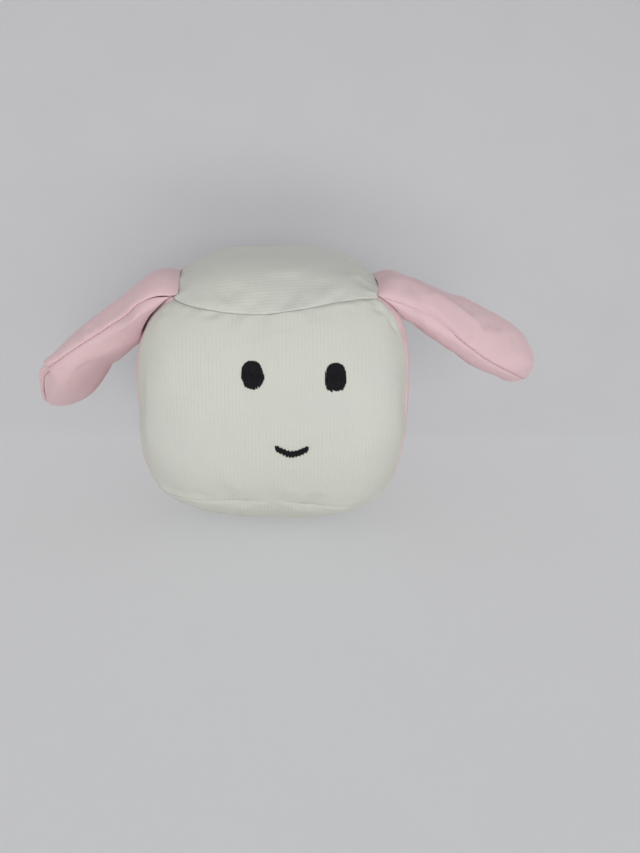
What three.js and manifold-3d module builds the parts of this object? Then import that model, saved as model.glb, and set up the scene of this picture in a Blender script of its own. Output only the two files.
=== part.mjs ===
// A soft block with a rabbit's face and two long hanging ears.
// Millimetres, +Z up, the face looks along -Y. The origin is the middle of the
// flat patch that the block stands on, so "left" is the side at -X.
import * as THREE from 'three';
import { mergeVertices } from 'three/addons/utils/BufferGeometryUtils.js';
import Module from 'manifold-3d';

const wasm = await Module();
wasm.setup();

// Stuffed block
const HALF_WIDTH = 52;        // X, widest level
const HALF_DEPTH = 52.2;      // Y, widest level
const TOP_RISE = 53.6;        // top of the crown above the widest level
const BOTTOM_DROP = 52.6;     // full bulge below the widest level
const REST_DEPTH = 1.6;       // how far the bottom bulge is pressed flat
const CENTRE_Z = BOTTOM_DROP - REST_DEPTH;
const TAPER = 0.023;          // the block narrows slightly upwards
const ROUND_LEVEL = 4.48;     // roundness of a level cut at mid height
const ROUND_POLE = 3.23;      // and near the top and the bottom
const ROUND_UPRIGHT = 2.86;   // roundness of an upright cut
const SEAM_TOP_FRONT = 0.784; // seam height at the middle of the front and back
const SEAM_TOP_SIDE = 1.14;   // at the middle of the sides, pulled up by the ears
const SEAM_TOP_CORNER = 1.077;
const SEAM_TOP_LEAN = 0.115;  // the front's top seam rises towards the right
const SEAM_BOTTOM_MIDDLE = 0.73;
const SEAM_BOTTOM_CORNER = 0.851;
const SEAM_BOTTOM_LEAN = 0.138; // and its bottom seam drops towards the right
const SEAM_UPRIGHT_WAIST = 0.649; // the upright seams lie nearer the side faces
const CORNER_TURN = 8;        // degrees that the front's low corners reach round the sides
const CORNER_REACH = 0.45;    // in shares of the half width
const NUDGES = [              // corners that stand out a little
  { at: [37, -37, 91], by: [1.9, -0.3, 1.3], reach: 13 },
  { at: [37, -38, 12], by: [1.1, 0, -0.6], reach: 9 },
  { at: [-37, -38, 12], by: [-1.8, 0, -0.3], reach: 9 },
];

// Cloth, thread and clearances
const FABRIC = 1.2;           // knitted jersey with its fleece backing
const EAR_FABRIC = 0.9;
const CLEAR = 0.35;
const KEEP_OFF = 0.7;         // ears stay this far off the block's panels
const SEAM_GAP = 0.95;        // from a panel's edge to the seam line
const THREAD_RADIUS = 0.2;
const PANEL_STEPS = 12;

// Embroidery, in shares of the front panel's half width and half height
const EYE_RAISE = 0.8;
const EYES = {
  left_eye: { at: [-0.086, 0.274], half: [0.051, 0.096] },
  right_eye: { at: [0.283, 0.246], half: [0.047, 0.083] },
};
const MOUTH = { from: [0.015, -0.168], to: [0.156, -0.166], sag: 0.042, half: 0.018 };
const BACKING = { middle: [0.1, 0.045], half: [0.42, 0.42], thickness: 0.4, gap: 0.55 };

// Ears. Each is sewn into a top side seam, between these shares of its half
// length. Centre lines run from the middle of that root, with x outwards.
const EAR_ROOT = { front: -0.97, back: -0.1 };
const EARS = {
  left: {
    line: [
      [5.2, 0.6, -1.6], [14.1, 2.5, -10.1], [22.2, 4, -16.3], [36.5, 7, -28.5],
      [48.3, 9.7, -41.1], [56.9, 11, -45.2],
    ],
    roll: [-3.7, -6.2, -12.2, -25.9, -46], // degrees, at EAR_ROLL_AT
    above: [6.3, 7.1, 8.4, 9.6],  // half thickness, at EAR_THICK_AT
    below: [9.6, 7.9, 7.8, 9.8],
    tip: { width: 0.58, skew: 6.5, bulge: 1.2 }, // width as a share of the widest
  },
  right: {
    line: [
      [7.2, 0.8, -2.9], [17.6, 2.8, -7.5], [27.2, 4.3, -12.1], [42.1, 7, -19.8],
      [54.8, 9, -27.2], [64.6, 11, -37.1],
    ],
    roll: [2.5, 5.5, 16.5, 23.3, 15.7],
    above: [8.1, 8.3, 9.7, 9.1],
    below: [8.2, 7.9, 9.6, 9.5],
    tip: { width: 0.55, skew: 4.4, bulge: 2.2 },
  },
};
const EAR_ROLL_AT = [0.1, 0.3, 0.5, 0.75, 1]; // shares of the length
const EAR_THICK_AT = [0.05, 0.35, 0.65, 1];
const EAR_SWELL = 0.045;      // how soon the thickness grows from the root
const EAR_FLARE = 2.4;        // the front edge leans forward near the root
const EAR_HALF_WIDTH = 15.4;
const EAR_FILL_MARGIN = 1.2;  // the filling ends this far inside the edge seam
const EAR_DOWN = 10;          // degrees an ear can press down towards the side
const EAR_UP = { left: 120, right: 107 }; // degrees up from rest until it stands
const EAR_STEPS = 13;
const EAR_ACROSS = 8;

// Closing stitch in the bottom seam at the back
const CLOSING_HALF_LENGTH = 0.4;

const COLOURS = {
  white: { color: '#e9eae4', roughness: 0.95, metalness: 0 },
  pink: { color: '#efc6cc', roughness: 0.92, metalness: 0 },
  fill: { color: '#f4f3ef', roughness: 1, metalness: 0 },
  black: { color: '#232326', roughness: 0.7, metalness: 0 },
  thread: { color: '#e4e4df', roughness: 0.8, metalness: 0 },
  pinkThread: { color: '#e3b3ba', roughness: 0.8, metalness: 0 },
  backing: { color: '#f2f2f0', roughness: 1, metalness: 0 },
};

const group = new THREE.Group();

function add(name, geometry, look) {
  const mesh = new THREE.Mesh(geometry, new THREE.MeshStandardMaterial(COLOURS[look]));
  mesh.name = name;
  group.add(mesh);
}

// Rows of points joined into closed bodies

class Skin {
  constructor() {
    this.points = [];
    this.faces = [];
  }

  put(p) {
    this.points.push(p.x, p.y, p.z);
    return this.points.length / 3 - 1;
  }

  quad(a, b, c, d) {
    this.faces.push(a, b, c, a, c, d);
  }

  geometry() {
    const raw = new THREE.BufferGeometry();
    raw.setAttribute('position', new THREE.Float32BufferAttribute(this.points, 3));
    raw.setIndex(this.faces);
    const merged = mergeVertices(raw, 1e-4);
    return outward(withoutSlivers(merged));
  }
}

function withoutSlivers(geometry) {
  const index = geometry.getIndex().array;
  const kept = [];
  for (let i = 0; i < index.length; i += 3) {
    const [a, b, c] = [index[i], index[i + 1], index[i + 2]];
    if (a !== b && b !== c && c !== a) kept.push(a, b, c);
  }
  geometry.setIndex(kept);
  return geometry;
}

function outward(geometry) {
  const p = geometry.getAttribute('position');
  const index = geometry.getIndex().array;
  const a = new THREE.Vector3();
  const b = new THREE.Vector3();
  const c = new THREE.Vector3();
  let volume = 0;
  for (let i = 0; i < index.length; i += 3) {
    a.fromBufferAttribute(p, index[i]);
    b.fromBufferAttribute(p, index[i + 1]);
    c.fromBufferAttribute(p, index[i + 2]);
    volume += a.dot(b.cross(c));
  }
  if (volume < 0) {
    const turned = [];
    for (let i = 0; i < index.length; i += 3) turned.push(index[i], index[i + 2], index[i + 1]);
    geometry.setIndex(turned);
  }
  geometry.computeVertexNormals();
  return geometry;
}

// Two grids of equal size, joined by a rim
function sheet(upper, lower) {
  const skin = new Skin();
  const rows = upper.length;
  const cols = upper[0].length;
  const top = upper.map((row) => row.map((p) => skin.put(p)));
  const low = lower.map((row) => row.map((p) => skin.put(p)));
  for (let i = 0; i < rows - 1; i += 1) {
    for (let j = 0; j < cols - 1; j += 1) {
      skin.quad(top[i][j], top[i + 1][j], top[i + 1][j + 1], top[i][j + 1]);
      skin.quad(low[i][j], low[i][j + 1], low[i + 1][j + 1], low[i + 1][j]);
    }
  }
  for (let i = 0; i < rows - 1; i += 1) {
    skin.quad(top[i + 1][0], top[i][0], low[i][0], low[i + 1][0]);
    skin.quad(top[i][cols - 1], top[i + 1][cols - 1], low[i + 1][cols - 1], low[i][cols - 1]);
  }
  for (let j = 0; j < cols - 1; j += 1) {
    skin.quad(top[0][j], top[0][j + 1], low[0][j + 1], low[0][j]);
    skin.quad(top[rows - 1][j + 1], top[rows - 1][j], low[rows - 1][j], low[rows - 1][j + 1]);
  }
  return skin.geometry();
}

// A round thread along points, closed into a ring or with capped ends
function thread(path, radius, ring) {
  const skin = new Skin();
  const sides = 5;
  const count = path.length;
  const rings = path.map((point, i) => {
    const before = path[ring ? (i + count - 1) % count : Math.max(i - 1, 0)];
    const after = path[ring ? (i + 1) % count : Math.min(i + 1, count - 1)];
    const along = after.clone().sub(before).normalize();
    const out = point.clone().sub(new THREE.Vector3(0, 0, CENTRE_Z));
    out.addScaledVector(along, -out.dot(along)).normalize();
    const side = along.clone().cross(out);
    return Array.from({ length: sides }, (_, k) => {
      const turn = (2 * Math.PI * k) / sides;
      const p = point.clone().addScaledVector(out, radius * Math.cos(turn));
      return skin.put(p.addScaledVector(side, radius * Math.sin(turn)));
    });
  });
  for (let i = 0; i < (ring ? count : count - 1); i += 1) {
    const here = rings[i];
    const next = rings[(i + 1) % count];
    for (let k = 0; k < sides; k += 1) {
      const l = (k + 1) % sides;
      skin.quad(here[k], here[l], next[l], next[k]);
    }
  }
  if (!ring) {
    for (let k = 1; k < sides - 1; k += 1) {
      skin.faces.push(rings[0][0], rings[0][k + 1], rings[0][k]);
      skin.faces.push(rings[count - 1][0], rings[count - 1][k], rings[count - 1][k + 1]);
    }
  }
  return skin.geometry();
}

// The stuffed block's surface. Each panel is a square sheet with u and v from
// -1 to 1 that bulges out between its seams.

const seam = (share, middle, corner) => middle + (corner - middle) * share * share;
const topFront = (share) => seam(share, SEAM_TOP_FRONT, SEAM_TOP_CORNER);
const topSide = (share) => seam(share, SEAM_TOP_SIDE, SEAM_TOP_CORNER);
const bottomAll = (share) => seam(share, SEAM_BOTTOM_MIDDLE, SEAM_BOTTOM_CORNER);

function evenDirection(panel, u, v) {
  const waist = 1 - (1 - SEAM_UPRIGHT_WAIST) * (1 - v * v);
  const lean = u * (1 - u * u);
  const level = (top, topLean = 0, bottomLean = 0) => (
    v * (v > 0 ? top(u) + topLean * lean : bottomAll(u) + bottomLean * lean)
  );
  if (panel === 'front') return [u, -waist, level(topFront, SEAM_TOP_LEAN, SEAM_BOTTOM_LEAN)];
  if (panel === 'back') return [-u, waist, level(topFront)];
  if (panel === 'left') return [-1, -u * waist, level(topSide)];
  if (panel === 'right') return [1, u * waist, level(topSide)];
  if (panel === 'top') {
    const high = topFront(u) + topSide(v) - SEAM_TOP_CORNER;
    return [u, v, high + (SEAM_TOP_LEAN * lean * (1 - v)) / 2];
  }
  const deep = SEAM_BOTTOM_CORNER - bottomAll(u) - bottomAll(v);
  return [u, -v, deep - (SEAM_BOTTOM_LEAN * lean * (1 + v)) / 2];
}

// The sewing pattern is turned a little about the upright at the low front corners
function direction(panel, u, v) {
  let [x, y, z] = evenDirection(panel, u, v);
  for (const side of [-1, 1]) {
    const away = (x - side) ** 2 + (y + 1) ** 2 + (z + SEAM_BOTTOM_CORNER) ** 2;
    const near = Math.exp(-away / (2 * CORNER_REACH ** 2));
    const turn = THREE.MathUtils.degToRad(side * CORNER_TURN * near);
    [x, y] = [x * Math.cos(turn) - y * Math.sin(turn), x * Math.sin(turn) + y * Math.cos(turn)];
  }
  return [x, y, z];
}

function nudged(point) {
  const moved = point.clone();
  for (const { at, by, reach } of NUDGES) {
    const away = point.distanceToSquared(new THREE.Vector3(...at));
    moved.addScaledVector(new THREE.Vector3(...by), Math.exp(-away / (2 * reach * reach)));
  }
  return moved;
}

function surface(panel, u, v, inset) {
  const [x, y, z] = direction(panel, u, v);
  const ax = Math.abs(x);
  const ay = Math.abs(y);
  const az = Math.abs(z);
  const rise = Math.min((1.6 * az) / (az + Math.max(ax, ay)), 1);
  const round = ROUND_LEVEL + (ROUND_POLE - ROUND_LEVEL) * rise * rise;
  const reach = (ax ** round + ay ** round) ** (1 / round);
  const size = (reach ** ROUND_UPRIGHT + az ** ROUND_UPRIGHT) ** (-1 / ROUND_UPRIGHT);
  const narrow = 1 - TAPER * z * size;
  const height = (z > 0 ? TOP_RISE : BOTTOM_DROP) - inset;
  const point = nudged(new THREE.Vector3(
    x * size * narrow * (HALF_WIDTH - inset),
    y * size * narrow * (HALF_DEPTH - inset),
    z * size * height + CENTRE_Z,
  ));
  point.z = Math.max(point.z, inset);
  return point;
}

const STEPS = Array.from({ length: PANEL_STEPS + 1 }, (_, i) => (2 * i) / PANEL_STEPS - 1);

// A step of a grid whose last row lies a gap short of the seam line
function shortOf(panel, way, step, other, gap) {
  if (gap === 0 || step === 0) return step;
  const at = (share) => {
    const reach = Math.sign(step) * share;
    return way === 'u' ? surface(panel, reach, other, 0) : surface(panel, other, reach, 0);
  };
  const seamPoint = at(1);
  let share = 0.98;
  for (let i = 0; i < 4; i += 1) share = 1 - ((1 - share) * gap) / seamPoint.distanceTo(at(share));
  return step * share;
}

function panelGrid(panel, inset, gap) {
  return STEPS.map((s) => STEPS.map((t) => {
    const u = shortOf(panel, 'u', s, t, gap);
    const v = shortOf(panel, 'v', t, s, gap);
    return surface(panel, u, v, typeof inset === 'function' ? inset(panel, u, v) : inset);
  }));
}

function panelSolid(panel) {
  return sheet(panelGrid(panel, 0, SEAM_GAP), panelGrid(panel, FABRIC, SEAM_GAP));
}

const PANELS = ['front', 'back', 'left', 'right', 'top', 'bottom'];

function blockSolid(inset) {
  const skin = new Skin();
  for (const panel of PANELS) {
    const ids = panelGrid(panel, inset, 0).map((row) => row.map((p) => skin.put(p)));
    for (let i = 0; i < PANEL_STEPS; i += 1) {
      for (let j = 0; j < PANEL_STEPS; j += 1) {
        skin.quad(ids[i][j], ids[i + 1][j], ids[i + 1][j + 1], ids[i][j + 1]);
      }
    }
  }
  return skin.geometry();
}

// The filling leaves a shallow space behind the face for the backing
function fillingInset(panel, u, v) {
  const inset = FABRIC + CLEAR;
  if (panel !== 'front') return inset;
  const margin = 2 / PANEL_STEPS;
  const du = Math.abs(u - BACKING.middle[0]) / (BACKING.half[0] + margin);
  const dv = Math.abs(v - BACKING.middle[1]) / (BACKING.half[1] + margin);
  return Math.max(du, dv) < 1 ? FABRIC + BACKING.gap + BACKING.thickness + CLEAR : inset;
}

function backingSolid() {
  const steps = 6;
  const layer = (inset) => Array.from({ length: steps + 1 }, (_, i) => {
    const u = BACKING.middle[0] + BACKING.half[0] * ((2 * i) / steps - 1);
    return Array.from({ length: steps + 1 }, (__, j) => {
      const v = BACKING.middle[1] + BACKING.half[1] * ((2 * j) / steps - 1);
      return surface('front', u, v, inset);
    });
  });
  const near = FABRIC + BACKING.gap;
  return sheet(layer(near), layer(near + BACKING.thickness));
}

// Embroidery stands just proud of the front panel

function eyeSolid({ at, half }) {
  const around = 20;
  const rings = [[1, 0.35], [0.86, 0.85], [0.5, 1], [0, 1]];
  const skin = new Skin();
  const point = (r, angle, lift) => surface(
    'front',
    at[0] + half[0] * r * Math.cos(angle),
    at[1] + half[1] * r * Math.sin(angle),
    -(CLEAR + lift * EYE_RAISE),
  );
  const shells = [[1, 0], ...rings].slice(0, 4).map(([r, lift]) => (
    Array.from({ length: around }, (_, k) => (
      skin.put(point(r, (2 * Math.PI * k) / around, lift))
    ))
  ));
  for (let s = 0; s < 3; s += 1) {
    for (let k = 0; k < around; k += 1) {
      const l = (k + 1) % around;
      skin.quad(shells[s][k], shells[s][l], shells[s + 1][l], shells[s + 1][k]);
    }
  }
  const low = skin.put(point(0, 0, 0));
  const high = skin.put(point(0, 0, 1));
  for (let k = 0; k < around; k += 1) {
    const l = (k + 1) % around;
    skin.faces.push(low, shells[0][l], shells[0][k]);
    skin.faces.push(high, shells[3][k], shells[3][l]);
  }
  return skin.geometry();
}

function mouthSolid() {
  const steps = 14;
  const layer = (lift) => Array.from({ length: steps + 1 }, (_, i) => {
    const t = (2 * i) / steps - 1;
    const u = MOUTH.from[0] + (MOUTH.to[0] - MOUTH.from[0]) * ((t + 1) / 2);
    const end = MOUTH.from[1] + (MOUTH.to[1] - MOUTH.from[1]) * ((t + 1) / 2);
    const v = end - MOUTH.sag * (1 - t * t);
    return [-1, 0, 1].map((side) => surface(
      'front',
      u,
      v + side * MOUTH.half,
      -(CLEAR + lift * (side === 0 ? EYE_RAISE : EYE_RAISE * 0.6)),
    ));
  });
  return sheet(layer(1), layer(0));
}

// Seam threads lie in the grooves between panels

function seamPoint(panel, u, v) {
  return surface(panel, u, v, 0.1);
}

function levelSeam(v) {
  const path = [];
  for (const panel of ['front', 'right', 'back', 'left']) {
    for (const s of STEPS) path.push(seamPoint(panel, shortOf(panel, 'u', s, v, SEAM_GAP), v));
    path.push(seamPoint(panel, 1, v));
  }
  return thread(path, THREAD_RADIUS, true);
}

function uprightSeam(panel, u) {
  const path = STEPS.slice(1, -1).map((t) => (
    seamPoint(panel, u, shortOf(panel, 'v', t, u, SEAM_GAP))
  ));
  return thread(path, THREAD_RADIUS, false);
}

// A hand stitch that closes the turning gap: it steps up and down across the
// bottom seam at the back
function closingStitch() {
  const path = [];
  const steps = 12;
  for (let i = 0; i <= steps; i += 1) {
    const u = CLOSING_HALF_LENGTH * ((2 * i) / steps - 1);
    const v = i % 2 === 0 ? -0.965 : -0.985;
    path.push(surface('back', u, v, -(CLEAR + THREAD_RADIUS)));
  }
  return thread(path, THREAD_RADIUS, false);
}

// Ears

// The two ends of the seam that holds an ear, which is also its hinge line
function earRoot(side) {
  const outwards = side === 'left' ? -1 : 1;
  const front = surface('top', outwards, EAR_ROOT.front, 0);
  const back = surface('top', outwards, EAR_ROOT.back, 0);
  return { outwards, front, back };
}

function earStations(side) {
  const { outwards, front, back } = earRoot(side);
  const root = front.clone().add(back).multiplyScalar(0.5);
  const line = new THREE.CatmullRomCurve3([
    root,
    ...EARS[side].line.map(([x, y, z]) => root.clone().add(new THREE.Vector3(x * outwards, y, z))),
  ]);
  const seamWay = back.clone().sub(front).normalize();
  return Array.from({ length: EAR_STEPS + 1 }, (_, i) => {
    const s = i / EAR_STEPS;
    const along = line.getTangentAt(s);
    const level = new THREE.Vector3(0, 1, 0).addScaledVector(along, -along.y).normalize();
    const up = along.clone().cross(level).multiplyScalar(outwards);
    const roll = THREE.MathUtils.degToRad(through(EAR_ROLL_AT, EARS[side].roll, s));
    const rolled = level.multiplyScalar(Math.cos(roll)).addScaledVector(up, Math.sin(roll));
    const free = THREE.MathUtils.smoothstep(s, 0, 0.16);
    const across = seamWay.clone().lerp(rolled, free).normalize();
    const rise = along.clone().cross(across).multiplyScalar(outwards).normalize();
    const above = earFullness(s, EARS[side].above);
    const below = earFullness(s, EARS[side].below);
    return { s, at: line.getPointAt(s), along, across, rise, above, below, tip: EARS[side].tip };
  });
}

// A smooth line through values given at rising places, level before the first
function through(places, values, s) {
  const at = Math.min(Math.max(s, places[0]), places[places.length - 1]);
  const k = Math.max(places.findLastIndex((place, i) => place <= at && i < places.length - 1), 0);
  const slope = (i) => (values[i + 1] - values[i]) / (places[i + 1] - places[i]);
  const lean = (i) => {
    if (i === 0) return slope(0);
    if (i === places.length - 1) return slope(i - 1);
    const [before, after] = [slope(i - 1), slope(i)];
    return before * after > 0 ? (2 * before * after) / (before + after) : 0;
  };
  const width = places[k + 1] - places[k];
  const t = (at - places[k]) / width;
  const start = (1 + 2 * t) * (1 - t) ** 2 * values[k] + t * (1 - t) ** 2 * width * lean(k);
  return start + t * t * (3 - 2 * t) * values[k + 1] + t * t * (t - 1) * width * lean(k + 1);
}

function earWidth({ s, tip }) {
  const wide = 0.93 + 0.07 * Math.sin(Math.PI * Math.min(s / 0.8, 1));
  const end = Math.max((s - 0.76) / 0.24, 0);
  return EAR_HALF_WIDTH * wide * (1 - (1 - tip.width) * end ** 2.6);
}

// Inside the cloth, on one face
function earFullness(s, halves) {
  const end = Math.max((s - 0.7) / 0.3, 0);
  const swell = (1 - Math.exp(-s / EAR_SWELL)) * Math.max(1 - end ** 3.2, 0) ** 0.6;
  return Math.max(through(EAR_THICK_AT, halves, s) * swell - EAR_FABRIC - CLEAR, 0);
}

const crown = (v) => Math.max(1 - Math.abs(v) ** 2.3, 0) ** 0.65;

function earPoint(station, v, height, shrink) {
  const half = earWidth(station) - shrink;
  const flare = EAR_FLARE * Math.exp(-(((station.s - 0.12) / 0.1) ** 2)) * Math.min(v, 0) ** 3;
  const p = station.at.clone().addScaledVector(station.across, half * v + flare);
  const { bulge, skew } = station.tip;
  const blunt = bulge * (1 - v * v) * THREE.MathUtils.smoothstep(station.s, 0.8, 1);
  const slant = skew * v * THREE.MathUtils.smoothstep(station.s, 0.55, 1);
  p.addScaledVector(station.along, blunt + slant - shrink * station.s * station.s);
  return p.addScaledVector(station.rise, height);
}

function acrossShares() {
  return Array.from({ length: EAR_ACROSS + 1 }, (_, j) => (
    Math.sin((Math.PI / 2) * ((2 * j) / EAR_ACROSS - 1))
  ));
}

function earFace(stations, facing) {
  const grid = (skinDepth) => stations.map((station) => acrossShares().map((v) => {
    const inner = CLEAR + (facing > 0 ? station.above : station.below) * crown(v);
    return earPoint(station, v, facing * (inner + skinDepth), 0);
  }));
  return sheet(grid(EAR_FABRIC), grid(0));
}

function earFilling(stations) {
  const used = stations.slice(2);
  const grid = (facing) => used.map((station) => acrossShares().map((v) => {
    const full = facing > 0 ? station.above : station.below;
    return earPoint(station, v, facing * 0.97 * full * crown(v), EAR_FILL_MARGIN);
  }));
  return sheet(grid(1), grid(-1));
}

function earThread(stations) {
  const path = stations.slice(4, -1).map((station) => earPoint(station, -1, 0, 0));
  const last = stations[stations.length - 1];
  for (const v of acrossShares()) path.push(earPoint(last, v, 0, 0));
  for (const station of stations.slice(4, -1).reverse()) path.push(earPoint(station, 1, 0, 0));
  return thread(path, THREAD_RADIUS * 0.8, false);
}

function toSolid(geometry) {
  const bare = geometry.clone();
  bare.deleteAttribute('normal');
  bare.deleteAttribute('uv');
  const merged = mergeVertices(bare, 1e-4);
  return new wasm.Manifold(new wasm.Mesh({
    numProp: 3,
    vertProperties: Float32Array.from(merged.getAttribute('position').array),
    triVerts: Uint32Array.from(merged.getIndex().array),
  }));
}

function fromSolid(solid) {
  const mesh = solid.getMesh();
  const geometry = new THREE.BufferGeometry();
  geometry.setAttribute('position', new THREE.BufferAttribute(mesh.vertProperties, 3));
  geometry.setIndex(new THREE.BufferAttribute(mesh.triVerts, 1));
  geometry.computeVertexNormals();
  return geometry;
}

// What an ear must stay clear of: the block, at rest and as the ear meets it
// when it is pressed down or stands up
function earKeepOut(side) {
  const { outwards, front, back } = earRoot(side);
  const axis = back.clone().sub(front).normalize();
  const turned = (degrees) => {
    const block = blockSolid(-KEEP_OFF);
    block.translate(-front.x, -front.y, -front.z);
    const angle = THREE.MathUtils.degToRad(degrees) * outwards;
    block.applyMatrix4(new THREE.Matrix4().makeRotationAxis(axis, angle));
    return toSolid(block.translate(front.x, front.y, front.z));
  };
  return turned(0).add(turned(-EAR_DOWN)).add(turned(EAR_UP[side]));
}

function addEar(side) {
  const stations = earStations(side);
  const keepOut = earKeepOut(side);
  const cut = (geometry) => fromSolid(toSolid(geometry).subtract(keepOut));
  add(`${side}_ear_upper_face`, cut(earFace(stations, 1)), 'pink');
  add(`${side}_ear_under_face`, cut(earFace(stations, -1)), 'pink');
  add(`${side}_ear_filling`, cut(earFilling(stations)), 'fill');
  add(`${side}_ear_seam_thread`, cut(earThread(stations)), 'pinkThread');
}

add('front_panel', panelSolid('front'), 'white');
add('back_panel', panelSolid('back'), 'white');
add('top_panel', panelSolid('top'), 'white');
add('bottom_panel', panelSolid('bottom'), 'white');
add('left_side_panel', panelSolid('left'), 'pink');
add('right_side_panel', panelSolid('right'), 'pink');
add('block_filling', blockSolid(fillingInset), 'fill');
add('face_backing', backingSolid(), 'backing');
for (const [name, eye] of Object.entries(EYES)) add(name, eyeSolid(eye), 'black');
add('mouth', mouthSolid(), 'black');
add('top_seam_thread', levelSeam(1), 'thread');
add('bottom_seam_thread', levelSeam(-1), 'thread');
add('front_left_seam_thread', uprightSeam('front', -1), 'thread');
add('front_right_seam_thread', uprightSeam('front', 1), 'thread');
add('back_left_seam_thread', uprightSeam('back', 1), 'thread');
add('back_right_seam_thread', uprightSeam('back', -1), 'thread');
add('closing_stitch', closingStitch(), 'thread');
addEar('left');
addEar('right');

export default group;
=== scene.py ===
"""A soft block with a rabbit's face: the looks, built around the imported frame."""
import functools
import math

import bmesh
import bpy
import numpy as np
from mathutils import Matrix, Vector

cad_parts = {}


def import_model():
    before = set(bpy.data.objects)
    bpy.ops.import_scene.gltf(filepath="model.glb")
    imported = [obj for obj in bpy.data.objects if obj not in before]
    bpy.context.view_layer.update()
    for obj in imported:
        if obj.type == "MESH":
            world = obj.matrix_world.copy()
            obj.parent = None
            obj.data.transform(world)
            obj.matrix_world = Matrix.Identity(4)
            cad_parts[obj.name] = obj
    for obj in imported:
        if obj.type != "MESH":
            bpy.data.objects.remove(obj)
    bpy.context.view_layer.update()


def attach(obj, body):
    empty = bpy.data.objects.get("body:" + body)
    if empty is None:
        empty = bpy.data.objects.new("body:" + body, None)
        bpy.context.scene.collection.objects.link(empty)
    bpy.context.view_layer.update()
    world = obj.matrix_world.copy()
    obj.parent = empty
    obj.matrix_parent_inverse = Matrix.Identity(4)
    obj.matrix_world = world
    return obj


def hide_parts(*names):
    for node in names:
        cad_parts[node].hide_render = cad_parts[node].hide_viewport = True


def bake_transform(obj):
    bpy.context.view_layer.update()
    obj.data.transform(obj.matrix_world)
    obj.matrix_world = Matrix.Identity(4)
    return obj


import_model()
MM = 0.001

# The block, in millimetres, as in the part's source
HALF_WIDTH, HALF_DEPTH = 52.0, 52.2
TOP_RISE, BOTTOM_DROP, REST_DEPTH = 53.6, 52.6, 1.6
REST_SOFT = 0.5  # how softly the bottom bulge turns into the flat patch
CENTRE_Z = BOTTOM_DROP - REST_DEPTH
CENTRE = np.array([0.0, 0.0, CENTRE_Z])
TAPER = 0.023
ROUND_LEVEL, ROUND_POLE, ROUND_UPRIGHT = 4.48, 3.23, 2.86
POLE_SPREAD = 1.6  # how far down the sides the top's and the bottom's roundness reaches
SEAM_TOP_FRONT, SEAM_TOP_SIDE, SEAM_TOP_CORNER = 0.784, 1.14, 1.077
SEAM_BOTTOM_MIDDLE, SEAM_BOTTOM_CORNER = 0.73, 0.851
SEAM_TOP_LEAN, SEAM_BOTTOM_LEAN = 0.115, 0.138
SEAM_UPRIGHT_WAIST = 0.649
CORNER_TURN, CORNER_REACH = 8.0, 0.45  # the front's low corners reach round the sides
NUDGES = (  # corners that stand out a little: where, how far, over what reach
    ((37.0, -37.0, 91.0), (1.9, -0.3, 1.3), 13.0),
    ((37.0, -38.0, 12.0), (1.1, 0.0, -0.6), 9.0),
    ((-37.0, -38.0, 12.0), (-1.8, 0.0, -0.3), 9.0),
)
PANEL_SPAN = 84.0  # flat width of a panel between its seams
PANELS = ("front", "back", "left", "right", "top", "bottom")
SIDES = ("left", "right")

# The face: places and half sizes in shares of the front panel's half width and half height
EYES = {  # powers give the roundness of an eye's top and bottom outlines
    "left_eye": dict(
        at=(-0.0863, 0.2742), half=(0.0507, 0.0956), lean=-0.0064,
        top_powers=(2.15, 2.05), low_powers=(2.2, 2.15), top_shift=0.12, seed=11,
    ),
    "right_eye": dict(
        at=(0.2825, 0.2463), half=(0.0472, 0.0827), lean=0.0143,
        top_powers=(2.5, 2.4), low_powers=(3.6, 3.4), top_shift=0.0, seed=12,
    ),
}
MOUTH_FROM, MOUTH_TO, MOUTH_HALF = (0.0149, -0.168), (0.1564, -0.166), 0.0235
MOUTH_SAG, MOUTH_BEND = 0.042, 1.55  # how deep the smile is, and how it curves
MOUTH_LUMPS = 9.5  # groups of stitches along it
MOUTH_LEAN = 0.105  # how far the stitches lean with its slope
MOUTH_SEED = 31


# Maths on the block's surface
def even_direction(panel, u, v):
    """The way from the block's middle to a place on a panel, u and v from -1 to 1."""
    waist = 1 - (1 - SEAM_UPRIGHT_WAIST) * (1 - v * v)

    def top(share, middle):
        return middle + (SEAM_TOP_CORNER - middle) * share * share

    def low(share):
        return SEAM_BOTTOM_MIDDLE + (SEAM_BOTTOM_CORNER - SEAM_BOTTOM_MIDDLE) * share * share

    def level(middle, top_lean=0.0, low_lean=0.0):
        lean = u * (1 - u * u)
        return v * np.where(v > 0, top(u, middle) + top_lean * lean, low(u) + low_lean * lean)

    one = np.ones_like(u)
    if panel == "front":
        return u, -waist, level(SEAM_TOP_FRONT, SEAM_TOP_LEAN, SEAM_BOTTOM_LEAN)
    if panel == "back":
        return -u, waist, level(SEAM_TOP_FRONT)
    if panel == "left":
        return -one, -u * waist, level(SEAM_TOP_SIDE)
    if panel == "right":
        return one, u * waist, level(SEAM_TOP_SIDE)
    lean = u * (1 - u * u) / 2
    if panel == "top":
        high = top(u, SEAM_TOP_FRONT) + top(v, SEAM_TOP_SIDE) - SEAM_TOP_CORNER
        return u, v, high + SEAM_TOP_LEAN * lean * (1 - v)
    deep = SEAM_BOTTOM_CORNER - low(u) - low(v)
    return u, -v, deep - SEAM_BOTTOM_LEAN * lean * (1 + v)


def direction(panel, u, v):
    """The same, with the sewing pattern turned a little at the low front corners."""
    x, y, z = even_direction(panel, u, v)
    for side in (-1, 1):
        away = (x - side) ** 2 + (y + 1) ** 2 + (z + SEAM_BOTTOM_CORNER) ** 2
        turn = np.radians(side * CORNER_TURN) * np.exp(-away / (2 * CORNER_REACH**2))
        x, y = x * np.cos(turn) - y * np.sin(turn), x * np.sin(turn) + y * np.cos(turn)
    return x, y, z


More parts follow.
